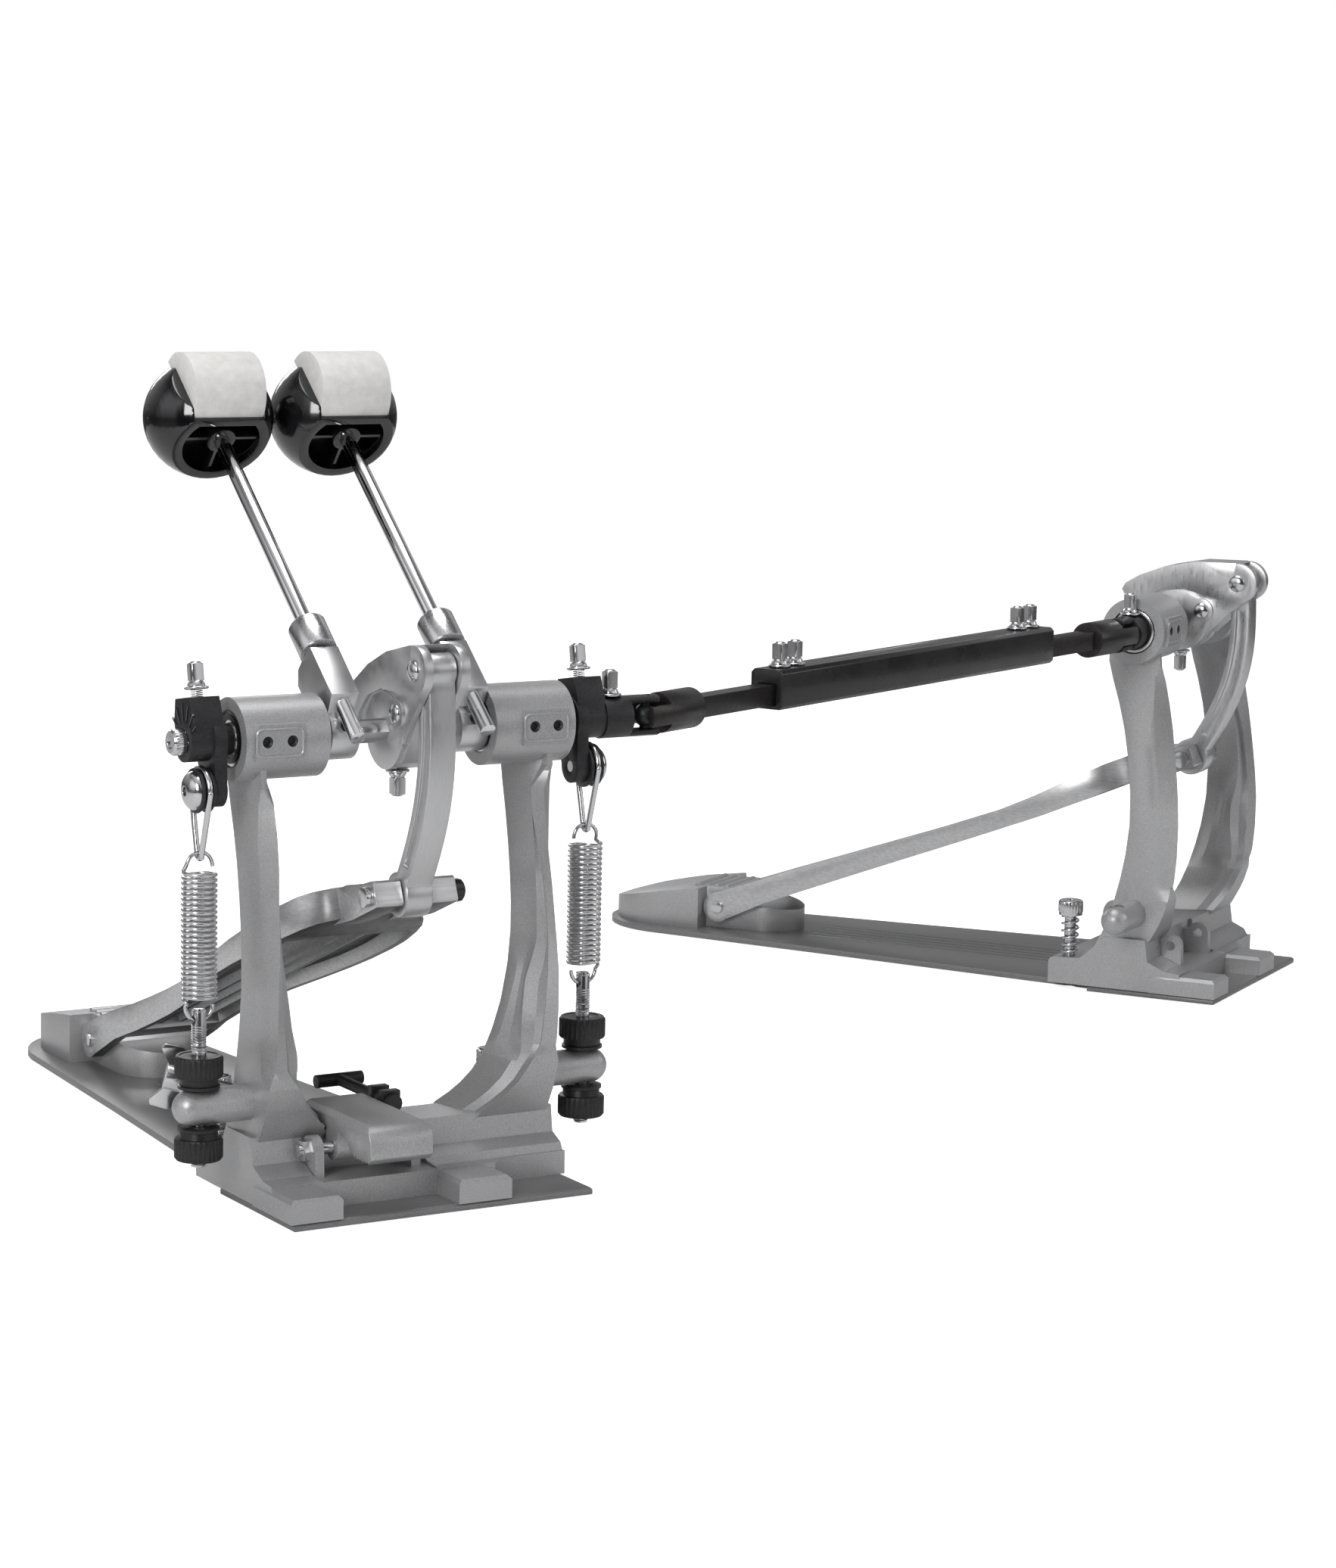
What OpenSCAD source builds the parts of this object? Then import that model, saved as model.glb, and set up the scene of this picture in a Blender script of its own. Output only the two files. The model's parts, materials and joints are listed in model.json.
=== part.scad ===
// Double bass drum pedal: a main pedal with two beaters, a telescopic drive
// shaft with two universal joints, and a second pedal that drives it.
// +X runs along the main axle to the second pedal, +Y to the heel, +Z up.
// The origin is on the floor below the middle of the main axle.

/* [Frames] */
// Height of the axles above the floor
axle_h = 232; // [226:1:238]
// Thickness of the steel plates under each pedal
plate_t = 3.7; // [3:0.1:4.5]
// Half width of the base plates
base_w = 82.8; // [82:0.2:88]
// Outer radius of the bearing barrels
barrel_r = 20.4; // [19.5:0.1:22]
// Half width of the window between the posts
window_w = 67.2; // [65:0.2:70]
// Outer face of the posts from the middle
post_w = 83.5; // [82.5:0.1:85]

/* [Axles] */
// Width across flats of the hexagonal axles
hex_af = 11; // [10:0.5:12]
// Radius of the round journals inside the bearings
journal_r = 7.5; // [7.2:0.1:8]
// Outer radius of the ball bearings
bearing_r = 14; // [13.5:0.1:15]

/* [Linkage] */
// Distance from an axle to the upper link pivot
cam_r = 46.6; // [45:0.2:48]
// Angle of the main cam at rest, from the heel direction
cam_angle = 134.8; // [130:0.2:138]
// Angle of the second cam at rest
second_cam_angle = 146.8; // [142:0.2:150]
// Length of a link between its pivots
link_len = 117.5; // [115:0.5:120]
// Width of a link
link_w = 14.4; // [13:0.2:15.4]
// Distance from the heel hinge to the toe pivot
board_len = 344; // [340:0.5:348]
// Place of the main toe pivot along Y
toe_y = -7.7; // [-9:0.1:-6.4]
// Height of the heel hinge above the floor
heel_z = 18.4; // [17.6:0.1:19.4]

/* [Beaters] */
// Radius of the beater rods
rod_r = 4; // [3.5:0.1:4.5]
// Lean of the rods from upright at rest
rod_lean = 49.6; // [44:0.2:54]
// Distance of the left beater from the middle
left_beater_x = -34; // [-35:0.5:-31]
// Distance of the right beater from the middle
right_beater_x = 37.7; // [36:0.1:37.7]
// Height of the beater heads along the rods
head_h = 207; // [195:1:215]
// Largest radius of the beater heads
head_r = 31.5; // [30:0.1:32.5]
// Half length of the beater heads
head_w = 34; // [32:0.1:35.5]
// Radius of the felt pads
felt_r = 20.8; // [20:0.1:21.5]

/* [Springs] */
// Distance of the spring axes from the middle
spring_x = 107.5; // [106.5:0.1:109]
// Outside radius of the springs
spring_r = 8.9; // [8.4:0.1:9.2]
// Height of the first curl
spring_z = 105.5; // [105:0.1:106.5]
// Distance of the last curl below the axles
spring_drop = 63.6; // [62:0.2:64]
// Rise of one curl
curl_rise = 2.6; // [2.5:0.05:3]
// Radius of the tension bolts
bolt_r = 3.5; // [3:0.1:4]
// Lean of the rockers at rest
rocker_lean = 9.7; // [6:0.1:12]

/* [Drive shaft] */
// Distance of the main universal joint from the middle
joint_x = 143; // [140:0.5:146]
// Distance of the second universal joint from the middle of its pedal
second_joint_x = 116; // [115:0.5:120]
// Place of the second pedal along X
second_x = 708; // [690:1:725]
// Place of the second pedal along Y
second_y = 275; // [265:1:285]
// Turn of the second pedal about the upright
second_turn = 32.6; // [30:0.2:35]
// Width of the inner drive bars
bar_w = 11; // [10:0.2:11.6]

/* [Hidden] */
$fn = 48;

hex_c = hex_af / sqrt(3);

// clearances
run = 0.05;
seat = 0.02;
gap = 0.5;
wide_gap = 1;

// colours
cast_grey = [0.72, 0.73, 0.74];
plate_grey = [0.55, 0.56, 0.57];
steel = [0.8, 0.8, 0.82];
black = [0.12, 0.12, 0.13];
felt_white = [0.92, 0.91, 0.88];

// barrels and bearings
barrel_in = 45.8;
barrel_out = 90.8;
bearing_t = 7;
barrel_bore = 11;
pad_in = 61;
pad_out = 86;

// rear deck, foot and toe blocks of the frames
deck_y = 51;
deck_z = 20;
beam_z = 36.5;
foot_y = -36.5;
foot_z = 17;
plate_front = -59;
plate_joint = 25;
mouth_left = -57;
mouth_right = 6.5;
wall_y = -11;

// clamp
clamp_y = -20.5;
clamp_z = 29.5;
clamp_r = 3;
lug_r = 7;
lug_t = 5;
left_lug_x = -54;
right_lug_x = -1;
jaw_left = -44;
jaw_right = -10;
wing_from = [-103, 30, 59.5];
wing_to = [-45.5, 8, 44];
wing_r = 3.6;

// spring bosses, spurs
boss_y = -3;
boss_z = 52.5;
boss_r = 9;
boss_end = 112;
knob_r = 11.4;
knob_neck_r = 9.5;
knob_neck = 5.5;
knob_t = 16;
spur_x = 76;
spur_y = 40;
spur_r = 3.6;
wire = 1;
stirrup_wire = 1.5;
spring_top = axle_h - spring_drop;
curls = round((spring_top - spring_z) / curl_rise);
pulley_r = 11;
pulley_drop = 23.8;
pulley_t = 7;
hook_r = 3.6;
low_hook_r = 7.2;
eye_z = 94.6;

// linkage, solved from the sizes above
link_x = 4.5;
cheek_t = 4.8;
pin_r = 2.5;
toe_play = 3.1;
axle_at = [0, axle_h];
cam_pin = axle_at + cam_r * [cos(cam_angle), sin(cam_angle)];
toe_z = cam_pin[1] - sqrt(pow(link_len, 2) - pow(toe_y - cam_pin[0], 2));
heel_y = toe_y + sqrt(pow(board_len, 2) - pow(toe_z - heel_z, 2));
heel_at = [heel_y, heel_z];
second_cam_pin = axle_at + cam_r * [cos(second_cam_angle), sin(second_cam_angle)];
function along(p, q) = (q - p) / norm(q - p);
function toe_run(p) = (pow(link_len, 2) - pow(board_len, 2) + pow(norm(heel_at - p), 2))
    / (2 * norm(heel_at - p));
function toe_of(p) = let (u = along(p, heel_at), a = toe_run(p),
    h = sqrt(pow(link_len, 2) - a * a)) p + a * u + h * [u[1], -u[0]];
toe_pin = toe_of(cam_pin);
second_toe_pin = toe_of(second_cam_pin);

// footboard
heel_pin_r = 4;
ear_r = 10;
ear_w = 31.6;
tongue_w = 24.6;
rail_t = 4.5;
deck_t = 4;
deck_from = 38;
board_scale = board_len / 344;
boss_w = 15;
toe_boss_r = 6.8;
link_side = link_w / 2 + gap;

// beaters
rod_off = 17;
hub_w = 15;
hub_r = 13;
hub_top = 38;
collar_top = 56;
collar_r = 9.6;
rod_from = -19;
head_y = -15;
head_under = 20;
felt_y = -30;
felt_rise = 3;
felt_base = -32;
felt_w = 19.5;

// drive shaft
fork_r = 10.7;
fork_base = 12;
fork_past = 6;
fork_gap = 7;
fork_w = 5.2;
socket_to = 41;
tube_from = 115;
tube_to = 412;
tube_w = 10.2;
tube_low = 8;
tube_high = 13.5;
joint_at = [joint_x, 0, axle_h];
second_at = [second_x, second_y, 0];
second_joint_at = second_at + [-second_joint_x * cos(second_turn),
    -second_joint_x * sin(second_turn), axle_h];
shaft_turn = atan2(second_joint_at[1], second_joint_at[0] - joint_x);
shaft_len = norm(second_joint_at - joint_at);

// points along the posts: height, front edge, rear edge, inner edge
post_rows = [[29, -9.6, 21, 30], [37, -15.5, 17, 33], [42, -18.2, 14.6, 40], [47, -20.8, 12.6, 45.5],
    [53, -23.3, 10.7, 50.6], [62, -26, 8.2, 55.4], [75, -28.8, 5, 59.2], [90, -29.9, 2.2, 62.3],
    [109, -30, 0.2, 64.8], [126, -28.8, 0.4, 66.4], [140, -27.2, 1.5, 67], [154, -25.3, 3.2, 67.2],
    [170, -23, 6, 67.4], [186, -20, 10, 67.8], [200, -17.2, 14.4, 68.3], [212, -15.2, 17.6, 68.7],
    [223, -14, 17, 68.7], [229, -9, 9, 68.7]];

module bar_x(x0, x1, r, y = 0, z = 0, n = 48) {
    translate([min(x0, x1), y, z])
        rotate([90, 0, 90])
            cylinder(h = abs(x1 - x0), r = r, $fn = n);
}
module bar_y(y0, y1, r, x = 0, z = 0, n = 48) {
    translate([x, y1, z])
        rotate([90, 0, 0])
            cylinder(h = y1 - y0, r = r, $fn = n);
}
module bar_z(z0, z1, r, x = 0, y = 0, n = 48) {
    translate([x, y, z0])
        cylinder(h = z1 - z0, r = r, $fn = n);
}
module box(a, b) {
    translate(a)
        cube(b - a);
}
// a drawing in the Y-Z plane made solid along X, and one in the X-Z plane along Y
module side_solid(x0, x1) {
    translate([x0, 0, 0])
        rotate([90, 0, 90])
            linear_extrude(x1 - x0)
                children();
}
module front_solid(y0, y1) {
    translate([0, y1, 0])
        rotate([90, 0, 0])
            linear_extrude(y1 - y0)
                children();
}
function slab_edge(a, b, z0, z1, c) = [[a, z0], [b, z0], [b, z1 - c], [b - c, z1], [a + c, z1], [a, z1 - c]];
module bevel_slab(x0, x1, y0, y1, z0, z1, c) {
    intersection() {
        front_solid(y0 - 1, y1 + 1)
            polygon(slab_edge(x0, x1, z0, z1, c));
        side_solid(x0 - 1, x1 + 1)
            polygon(slab_edge(y0, y1, z0, z1, c));
    }
}
module hexagon_x(x0, x1, af) {
    bar_x(x0, x1, af / sqrt(3), 0, axle_h, 6);
}
module both_sides() {
    children();
    mirror([1, 0, 0])
        children();
}
module at_second() {
    translate(second_at)
        rotate([0, 0, second_turn])
            children();
}
module on_shaft() {
    translate(joint_at)
        rotate([0, 0, shaft_turn])
            children();
}
// lean about the main axle, top toward the heel
module leaning(a) {
    translate([0, 0, axle_h])
        rotate([-a, 0, 0])
            children();
}
// turned from one point toward another, +X along the line
module toward(p, q) {
    d = q - p;
    translate(p)
        rotate([0, -asin(d[2] / norm(d)), atan2(d[1], d[0])])
            children();
}
// square headed screw: flange on z = 0, shank below it
module key_screw(depth) {
    union() {
        bar_z(-depth, 0.5, 3);
        bar_z(0, 1.8, 6);
        bar_z(1.5, 5, 4);
        translate([-3.175, -3.175, 4.5])
            cube([6.35, 6.35, 8]);
    }
}
// wire or strip of round section along a list of points
module wire_along(path, r, closed) {
    n = len(path);
    s = 6;
    function dir(i) = let (a = closed ? (i + n - 1) % n : max(i - 1, 0),
        b = closed ? (i + 1) % n : min(i + 1, n - 1)) (path[b] - path[a]) / norm(path[b] - path[a]);
    function side(i, axis) = let (c = cross(dir(i), axis)) c / norm(c);
    ring_axis = closed ? [1, 0, 0] : [0.02, 0.01, 1];
    function ring_side(i) = closed ? side(i, ring_axis) : turned[i];
    function carry(i, v) = let (w = v - (v * dir(i)) * dir(i)) w / norm(w);
    turned = [for (i = 0, v = carry(0, [0.3, 0.9, 0.2]); i < n; i = i + 1,
        v = i < n ? carry(i, v) : v) v];
    points = [for (i = [0:n - 1]) for (k = [0:s - 1]) let (u = ring_side(i), w = cross(dir(i), u))
        path[i] + r * (cos(k * 360 / s) * u + sin(k * 360 / s) * w)];
    last = closed ? n - 1 : n - 2;
    skin = [for (i = [0:last]) for (k = [0:s - 1]) let (a = i * s + k, b = i * s + (k + 1) % s,
        c = ((i + 1) % n) * s + (k + 1) % s, d = ((i + 1) % n) * s + k) for (t = [[a, c, b], [a, d, c]]) t];
    caps = closed ? [] : concat([for (k = [1:s - 2]) [0, k, k + 1]],
        [for (k = [1:s - 2]) [(n - 1) * s, (n - 1) * s + k + 1, (n - 1) * s + k]]);
    polyhedron(points = points, faces = concat(skin, caps));
}

// base and floor plates
module base_plate() {
    difference() {
        bevel_slab(-base_w, base_w, plate_front, plate_joint, 0, plate_t, 1.2);
        plate_holes();
    }
}
module plate_holes() {
    both_sides()
        bar_z(-1, plate_t + 1, spur_r + wide_gap, spur_x, spur_y);
}
floor_front = base_w - 8.4;
floor_back = 49;
module floor_plate() {
    tail = [for (t = [0:10:180]) [floor_back * cos(t), heel_y + 35 + 55 * sin(t)]];
    difference() {
        linear_extrude(plate_t)
            polygon(concat([[-floor_front, plate_joint + 0.02], [floor_front, plate_joint + 0.02]],
                [[58.6, 212]], tail, [[-58.6, 212]]));
        plate_holes();
        for (i = [-2:2])
            translate([9 * i, 60, plate_t - 0.8])
                cube([2.4, heel_y - 120, 2]);
    }
}

// frame casting
function post_ring(row) = let (z = row[0] * axle_h / 232, f = row[1], b = row[2],
    i = row[3] + window_w - 67.2, k = i - window_w) [
    [i, b, z], [post_w, b, z], [post_w, b - 8, z], [post_w - 2, (b + f) / 2, z],
    [post_w - 2.3, f + 5, z], [post_w - 2.8, f, z], [post_w - 7.4 + k, f, z],
    [post_w - 7.8 + k, f + 5, z], [i + 4.3, f + 0.32 * (b - f), z]];
module post() {
    rings = [for (row = post_rows) post_ring(row)];
    n = 9;
    m = len(rings);
    skin = [for (i = [0:m - 2]) for (k = [0:n - 1]) let (a = i * n + k, b = i * n + (k + 1) % n)
        for (t = [[a, b, b + n], [a, b + n, a + n]]) t];
    low = [[for (k = [n - 1:-1:0]) k]];
    high = [[for (k = [0:n - 1]) (m - 1) * n + k]];
    polyhedron(points = [for (r = rings) for (q = r) q], faces = concat(skin, low, high));
}
module barrel() {
    bar_x(barrel_in, barrel_out, barrel_r, 0, axle_h);
    box([pad_in, -barrel_r - 1, axle_h - 9], [pad_out, -10, axle_h + 9]);
}
module barrel_bore() {
    bar_x(barrel_in - 1, barrel_out + 1, barrel_bore, 0, axle_h);
    bar_x(barrel_in - 1, barrel_in + bearing_t, bearing_r + seat, 0, axle_h);
    bar_x(barrel_out - bearing_t, barrel_out + 1, bearing_r + seat, 0, axle_h);
    for (x = [66.9, 80.1])
        bar_y(-barrel_r - 3, -barrel_r + 2, 3, x, axle_h + 0.5);
}
module spring_boss() {
    bar_x(75, boss_end, boss_r, boss_y, boss_z);
    translate([boss_end, boss_y, boss_z])
        sphere(boss_r);
}
module clamp_lug(x) {
    side_solid(x - lug_t / 2, x + lug_t / 2) {
        translate([clamp_y, clamp_z])
            circle(lug_r);
        polygon([[clamp_y - lug_r, clamp_z], [clamp_y - lug_r - 1, plate_t], [wall_y + 2, plate_t],
            [wall_y + 2, clamp_z + 3]]);
    }
}
module wing_boss(r, from, to) {
    toward(wing_from, wing_to)
        bar_x(from, to, r);
}
// sloping front of the beam right of the toe block
module slope_cut() {
    translate([0, 0, plate_t - 1])
        linear_extrude(foot_z - plate_t + 2)
            polygon([[post_w + 2, foot_y - 1], [38, foot_y - 1], [44, foot_y + 3.5], [50, -29.5],
                [57, -28], [post_w + 2, -28]]);
    intersection() {
        box([mouth_right + 1, -60, plate_t], [post_w + 2, 0, beam_z + 1]);
        side_solid(mouth_right, post_w + 2)
            polygon([[foot_y - 2, foot_z - 0.5], [-25.6, foot_z - 1.5], [-12.9, beam_z + 0.2],
                [foot_y - 2, beam_z + 0.2]]);
    }
}
module frame_casting() {
    difference() {
        union() {
            both_sides() {
                post();
                barrel();
                spring_boss();
            }
            difference() {
                side_solid(-post_w - 0.6, post_w + 0.6)
                    polygon([[foot_y, plate_t], [foot_y, foot_z], [-26, foot_z + 1],
                        [-15, 23], [-13, beam_z], [15, beam_z], [21, 29], [30, deck_z + 1],
                        [deck_y - 2, deck_z], [deck_y, deck_z - 2], [deck_y, plate_t]]);
                box([mouth_left, foot_y - 1, foot_z - 0.5], [mouth_right, wall_y, beam_z + 1]);
                slope_cut();
            }
            bevel_slab(-post_w - 1.5, mouth_left, plate_front - 1, -17, plate_t, 15.4, 2);
            bevel_slab(mouth_right, 36, plate_front - 1, -31, plate_t, 15.4, 2);
            clamp_lug(left_lug_x);
            clamp_lug(right_lug_x);
            wing_boss(wing_r + 4, 41, 55);
        }
        both_sides() {
            barrel_bore();
            bar_z(boss_z - boss_r - 1, boss_z + boss_r + 1, bolt_r + run, spring_x, boss_y);
            bar_z(plate_t - 1, deck_z + 1, spur_r + run, spur_x, spur_y);
        }
        bar_x(left_lug_x - lug_t, right_lug_x + lug_t, clamp_r + seat, clamp_y, clamp_z);
        bar_x(left_lug_x - 12, left_lug_x - lug_t / 2, 6.6, clamp_y, clamp_z);
        box([jaw_left - 2, foot_y, beam_z + 0.4], [jaw_right + 2, 15.6, 66]);
        box([jaw_left - 0.6, foot_y, clamp_z - 8], [jaw_right, wall_y, beam_z + 1]);
        wing_boss(wing_r + run, 39, 66);
    }
}
module bearing_set() {
    both_sides() {
        for (x = [barrel_in + 0.4, barrel_out - bearing_t])
            difference() {
                bar_x(x, x + bearing_t - 0.4, bearing_r, 0, axle_h);
                bar_x(x - 1, x + bearing_t + 1, journal_r + run, 0, axle_h);
            }
    }
}

// clamp
module jaw() {
    teeth = [for (i = [0:5]) for (q = [[-60 + 3 * i, 29], [-58.5 + 3 * i, 31]]) q];
    difference() {
        union() {
            intersection() {
                side_solid(jaw_left, jaw_right)
                    polygon(concat([[-42, 30], [-36, 37], [-30, 38.4], [-14, 38.6], [-8, 38.2], [9, 40],
                        [11, 42], [11, 46], [9, 47.6], [-55, 47.6], [-60, 45], [-63, 40], [-63, 32]],
                        teeth));
                front_solid(-70, 20)
                    polygon([[jaw_left, 20], [jaw_right, 20], [jaw_right, 44.5], [jaw_right - 3, 48],
                        [jaw_left + 3, 48], [jaw_left, 44.5]]);
            }
            bar_x(jaw_left, jaw_right, 6.5, clamp_y, clamp_z);
            box([jaw_left, clamp_y - 6.5, clamp_z], [jaw_right, clamp_y + 6.5, 40]);
        }
        bar_x(jaw_left - 1, jaw_right + 1, clamp_r + run, clamp_y, clamp_z);
    }
}
module lug_bolt() {
    bar_x(left_lug_x - 8.5, right_lug_x + 5, clamp_r, clamp_y, clamp_z);
    bar_x(left_lug_x - 7, left_lug_x - lug_t / 2, 5.6, clamp_y, clamp_z, 6);
    bar_x(right_lug_x + lug_t / 2, right_lug_x + 7, 5.6, clamp_y, clamp_z, 6);
}
module wing_screw() {
    toward(wing_from, wing_to) {
        bar_x(-5, norm(wing_to - wing_from), wing_r);
        bar_x(-7, 6, 6.5);
        for (a = [0, 180])
            rotate([a, 0, 0])
                front_solid(-1.8, 1.8)
                    polygon([[-5, 4], [3, 4], [1, 14], [-2, 16], [-11, 15.5], [-12, 13]]);
    }
}
module key_and_clips() {
    bar_y(-10, 14, 4.5, -4, 45);
    bar_y(13, 50, 3, -4, 45);
    bar_x(-17, 9, 3.4, 52, 45);
    for (y = [-7, 5])
        difference() {
            box([-8.8, y, beam_z], [0.8, y + 5, 51]);
            bar_y(y - 1, y + 6, 4.5 + seat, -4, 45);
        }
}
module spur(x, head_r) {
    bar_z(8.1, 48, spur_r, x, spur_y);
    bar_z(47, 56, head_r, x, spur_y);
}

// spring side parts, drawn on the +X side
module tension_bolt() {
    translate([spring_x, boss_y, 0])
        difference() {
            union() {
                bar_z(23, eye_z + 6, bolt_r);
                bar_z(eye_z + 5.9, eye_z + 6.8, bolt_r - 0.8);
            }
            bar_x(-5, 5, 2.3, 0, eye_z + 1.4);
        }
}
module tension_knobs() {
    for (k = [0, 1])
        translate([spring_x, boss_y, boss_z])
            mirror([0, 0, k])
                translate([0, 0, boss_r + gap])
                    difference() {
                        union() {
                            bar_z(0, knob_t - 0.5, knob_neck_r);
                            bar_z(knob_neck, knob_t, knob_r);
                        }
                        bar_z(-1, knob_t + 1, bolt_r + run);
                    }
}
coil_r = spring_r - wire;
low_hook = eye_z + 0.9 + low_hook_r;
high_hook = spring_top + 6;
coil_path = concat(
    [for (t = [180:30:360]) [low_hook_r * cos(t), 0, low_hook + low_hook_r * sin(t)]],
    [[coil_r * 0.94, -2.2, spring_z - 0.8]],
    [for (i = [0:8 * curls]) [coil_r * cos(45 * i), coil_r * sin(45 * i),
        spring_z + (spring_top - spring_z) * i / (8 * curls)]],
    [[coil_r * 0.94, 2.2, spring_top + 0.8]],
    [for (t = [0:30:180]) [hook_r * cos(t), 0, high_hook + hook_r * sin(t)]]);
// least distance between points of a path that are not next to each other
function spacing(path) = min([for (i = [0:len(path) - 3])
    min([for (j = [i + 2:len(path) - 1]) norm(path[i] - path[j])])]);
echo(least_gap_of_spring = spacing(coil_path) - 2 * wire);
module coil_spring() {
    translate([spring_x, boss_y, 0])
        wire_along(coil_path, wire, false);
}
pulley_at = [-pulley_drop * sin(rocker_lean), axle_h - pulley_drop * cos(rocker_lean)];
loop_r = 9 + stirrup_wire + 0.3;
loop_low = high_hook + hook_r - wire - stirrup_wire - 0.3;
loop_path = concat(
    [for (t = [-15:15:195]) [spring_x, pulley_at[0] + loop_r * cos(t), pulley_at[1] + loop_r * sin(t)]],
    [for (t = [180:45:360]) [spring_x, boss_y + 2.6 * cos(t), loop_low + 2.6 + 2.6 * sin(t)]]);
module stirrup() {
    wire_along(loop_path, stirrup_wire, true);
}
rocker_in = 97;
rocker_out = 115;
arm_out = 103.4;
module rocker() {
    difference() {
        leaning(rocker_lean) {
            bar_x(rocker_in, arm_out, 12.5);
            bar_x(rocker_in + 1, rocker_out, 10);
            side_solid(rocker_in + 1, rocker_out - 1)
                polygon([[-9.5, 0], [-11, 10], [-8, 21], [8, 21], [11, 10], [9.5, 0]]);
            side_solid(rocker_in, arm_out) {
                polygon([[-12, 2], [12, 2], [8, -pulley_drop], [-8, -pulley_drop]]);
                translate([0, -pulley_drop])
                    circle(8.5);
            }
        }
        hexagon_x(rocker_in - 1, rocker_out + 1, hex_af + 2 * seat);
        leaning(rocker_lean) {
            bar_z(hex_af / 2, 22, 3 + seat, spring_x - 1.5);
            bar_x(rocker_in - 1, rocker_out, 3 + seat, 0, -pulley_drop);
        }
    }
}
module pulley() {
    leaning(rocker_lean)
        translate([arm_out + 0.6, 0, -pulley_drop])
            rotate([90, 0, 90])
                rotate_extrude()
                    polygon([[3 + seat, 0], [pulley_r, 0], [pulley_r, 1.4], [9, 2.2],
                        [9, pulley_t - 2.2], [pulley_r, pulley_t - 1.4], [pulley_r, pulley_t],
                        [3 + seat, pulley_t]]);
}
module rocker_screws() {
    leaning(rocker_lean) {
        translate([spring_x - 1.5, 0, 21])
            key_screw(21 - hex_c - 0.1);
        bar_x(rocker_in, arm_out + pulley_t + 2, 3, 0, -pulley_drop);
        bar_x(arm_out + 0.6 + pulley_t, arm_out + pulley_t + 3, 7, 0, -pulley_drop);
        bar_x(arm_out + pulley_t + 2.5, arm_out + pulley_t + 6, 5, 0, -pulley_drop);
    }
}

// axles
module journals(from, to) {
    bar_x(from, to, journal_r, 0, axle_h);
}
spigot_to = 36;
axle_gap_x = 24;
module main_axle() {
    hexagon_x(-rocker_out, axle_gap_x, hex_af);
    journals(-rocker_in + 0.1, -barrel_in + 0.5);
    bar_x(axle_gap_x - 1, spigot_to, 3, 0, axle_h);
}
module second_beater_axle() {
    difference() {
        union() {
            hexagon_x(axle_gap_x + gap, joint_x - fork_base - 4, hex_af);
            journals(barrel_in - 0.2, rocker_in - 0.1);
        }
        bar_x(axle_gap_x, spigot_to + 1, 3 + run, 0, axle_h);
    }
}

// beaters, drawn upright at x = 0 with the axle at the origin and the drum on -Y
module beater_at(x) {
    translate([x, 0, axle_h])
        rotate([-rod_lean, 0, 0])
            children();
}
hub_screw_z = hub_top - 13;
module beater_hub() {
    difference() {
        union() {
            bar_x(-hub_w / 2, hub_w / 2, hub_r);
            side_solid(-hub_w / 2, hub_w / 2)
                polygon([[-23.5, 4.6], [-23.5, hub_top - 2], [-21, hub_top], [-5, hub_top], [1, hub_top - 5],
                    [1, hub_top - 22], [12, 5], [-8, 0]]);
        }
        bar_z(rod_from - 20, hub_top + 1, rod_r + seat, 0, -rod_off);
        rotate([rod_lean, 0, 0])
            bar_x(-hub_w, hub_w, (hex_af + 2 * seat) / sqrt(3), 0, 0, 6);
        bar_y(-rod_off, 2, 3 + seat, 0, hub_screw_z);
        rotate([118, 0, 0])
            bar_z(hub_r - 3, hub_r + 4, 2.6);
    }
}
module beater_hub_screws(x) {
    beater_at(x)
        translate([0, 1 + seat, hub_screw_z])
            rotate([-90, 0, 0])
                key_screw(1 + rod_off - rod_r - 0.1);
}
module beater_collar() {
    difference() {
        union() {
            bar_z(hub_top + 0.1, collar_top, collar_r, 0, -rod_off);
            bar_z(collar_top - 0.1, collar_top + 1.2, collar_r - 1, 0, -rod_off);
        }
        bar_z(hub_top - 1, collar_top + 2, rod_r + seat, 0, -rod_off);
    }
}
module beater_rod() {
    bar_z(rod_from, rod_top, rod_r, 0, -rod_off);
}
rod_top = head_h + 8;
head_steps = 12;
underside = head_h - head_under;
module head_turn(r, w) {
    translate([0, head_y, head_h])
        rotate([90, 0, 90])
            rotate_extrude()
                polygon([for (i = [-head_steps:head_steps]) let (t = i * 90 / head_steps)
                    [r * cos(t), w * sin(t)]]);
}
module felt_pocket(grow) {
    box([-felt_w - grow, -80, 0], [felt_w + grow, felt_base + grow, head_h + 50]);
}
module beater_head() {
    difference() {
        head_turn(head_r, head_w);
        box([-50, -80, head_h - 50], [50, 50, underside]);
        box([-50, -80, 0], [50, felt_base - 4, head_h + 50]);
        felt_pocket(seat);
        difference() {
            intersection() {
                head_turn(head_r - 3.5, head_w - 4);
                box([-50, felt_base + 4, underside - 1], [50, 50, underside + 11]);
            }
            bar_z(underside + 0.6, underside + 12, 7.5, 0, -rod_off);
            box([-40, -rod_off - 0.8, underside + 2.5], [40, -rod_off + 0.8, underside + 12]);
            box([-0.8, -rod_off, underside + 2.5], [0.8, 40, underside + 12]);
        }
        bar_z(0, rod_top + 0.1, rod_r + seat, 0, -rod_off);
    }
}
module beater_felt() {
    intersection() {
        bar_x(-felt_w, felt_w, felt_r, felt_y, head_h + felt_rise);
        felt_pocket(0);
    }
}

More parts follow.
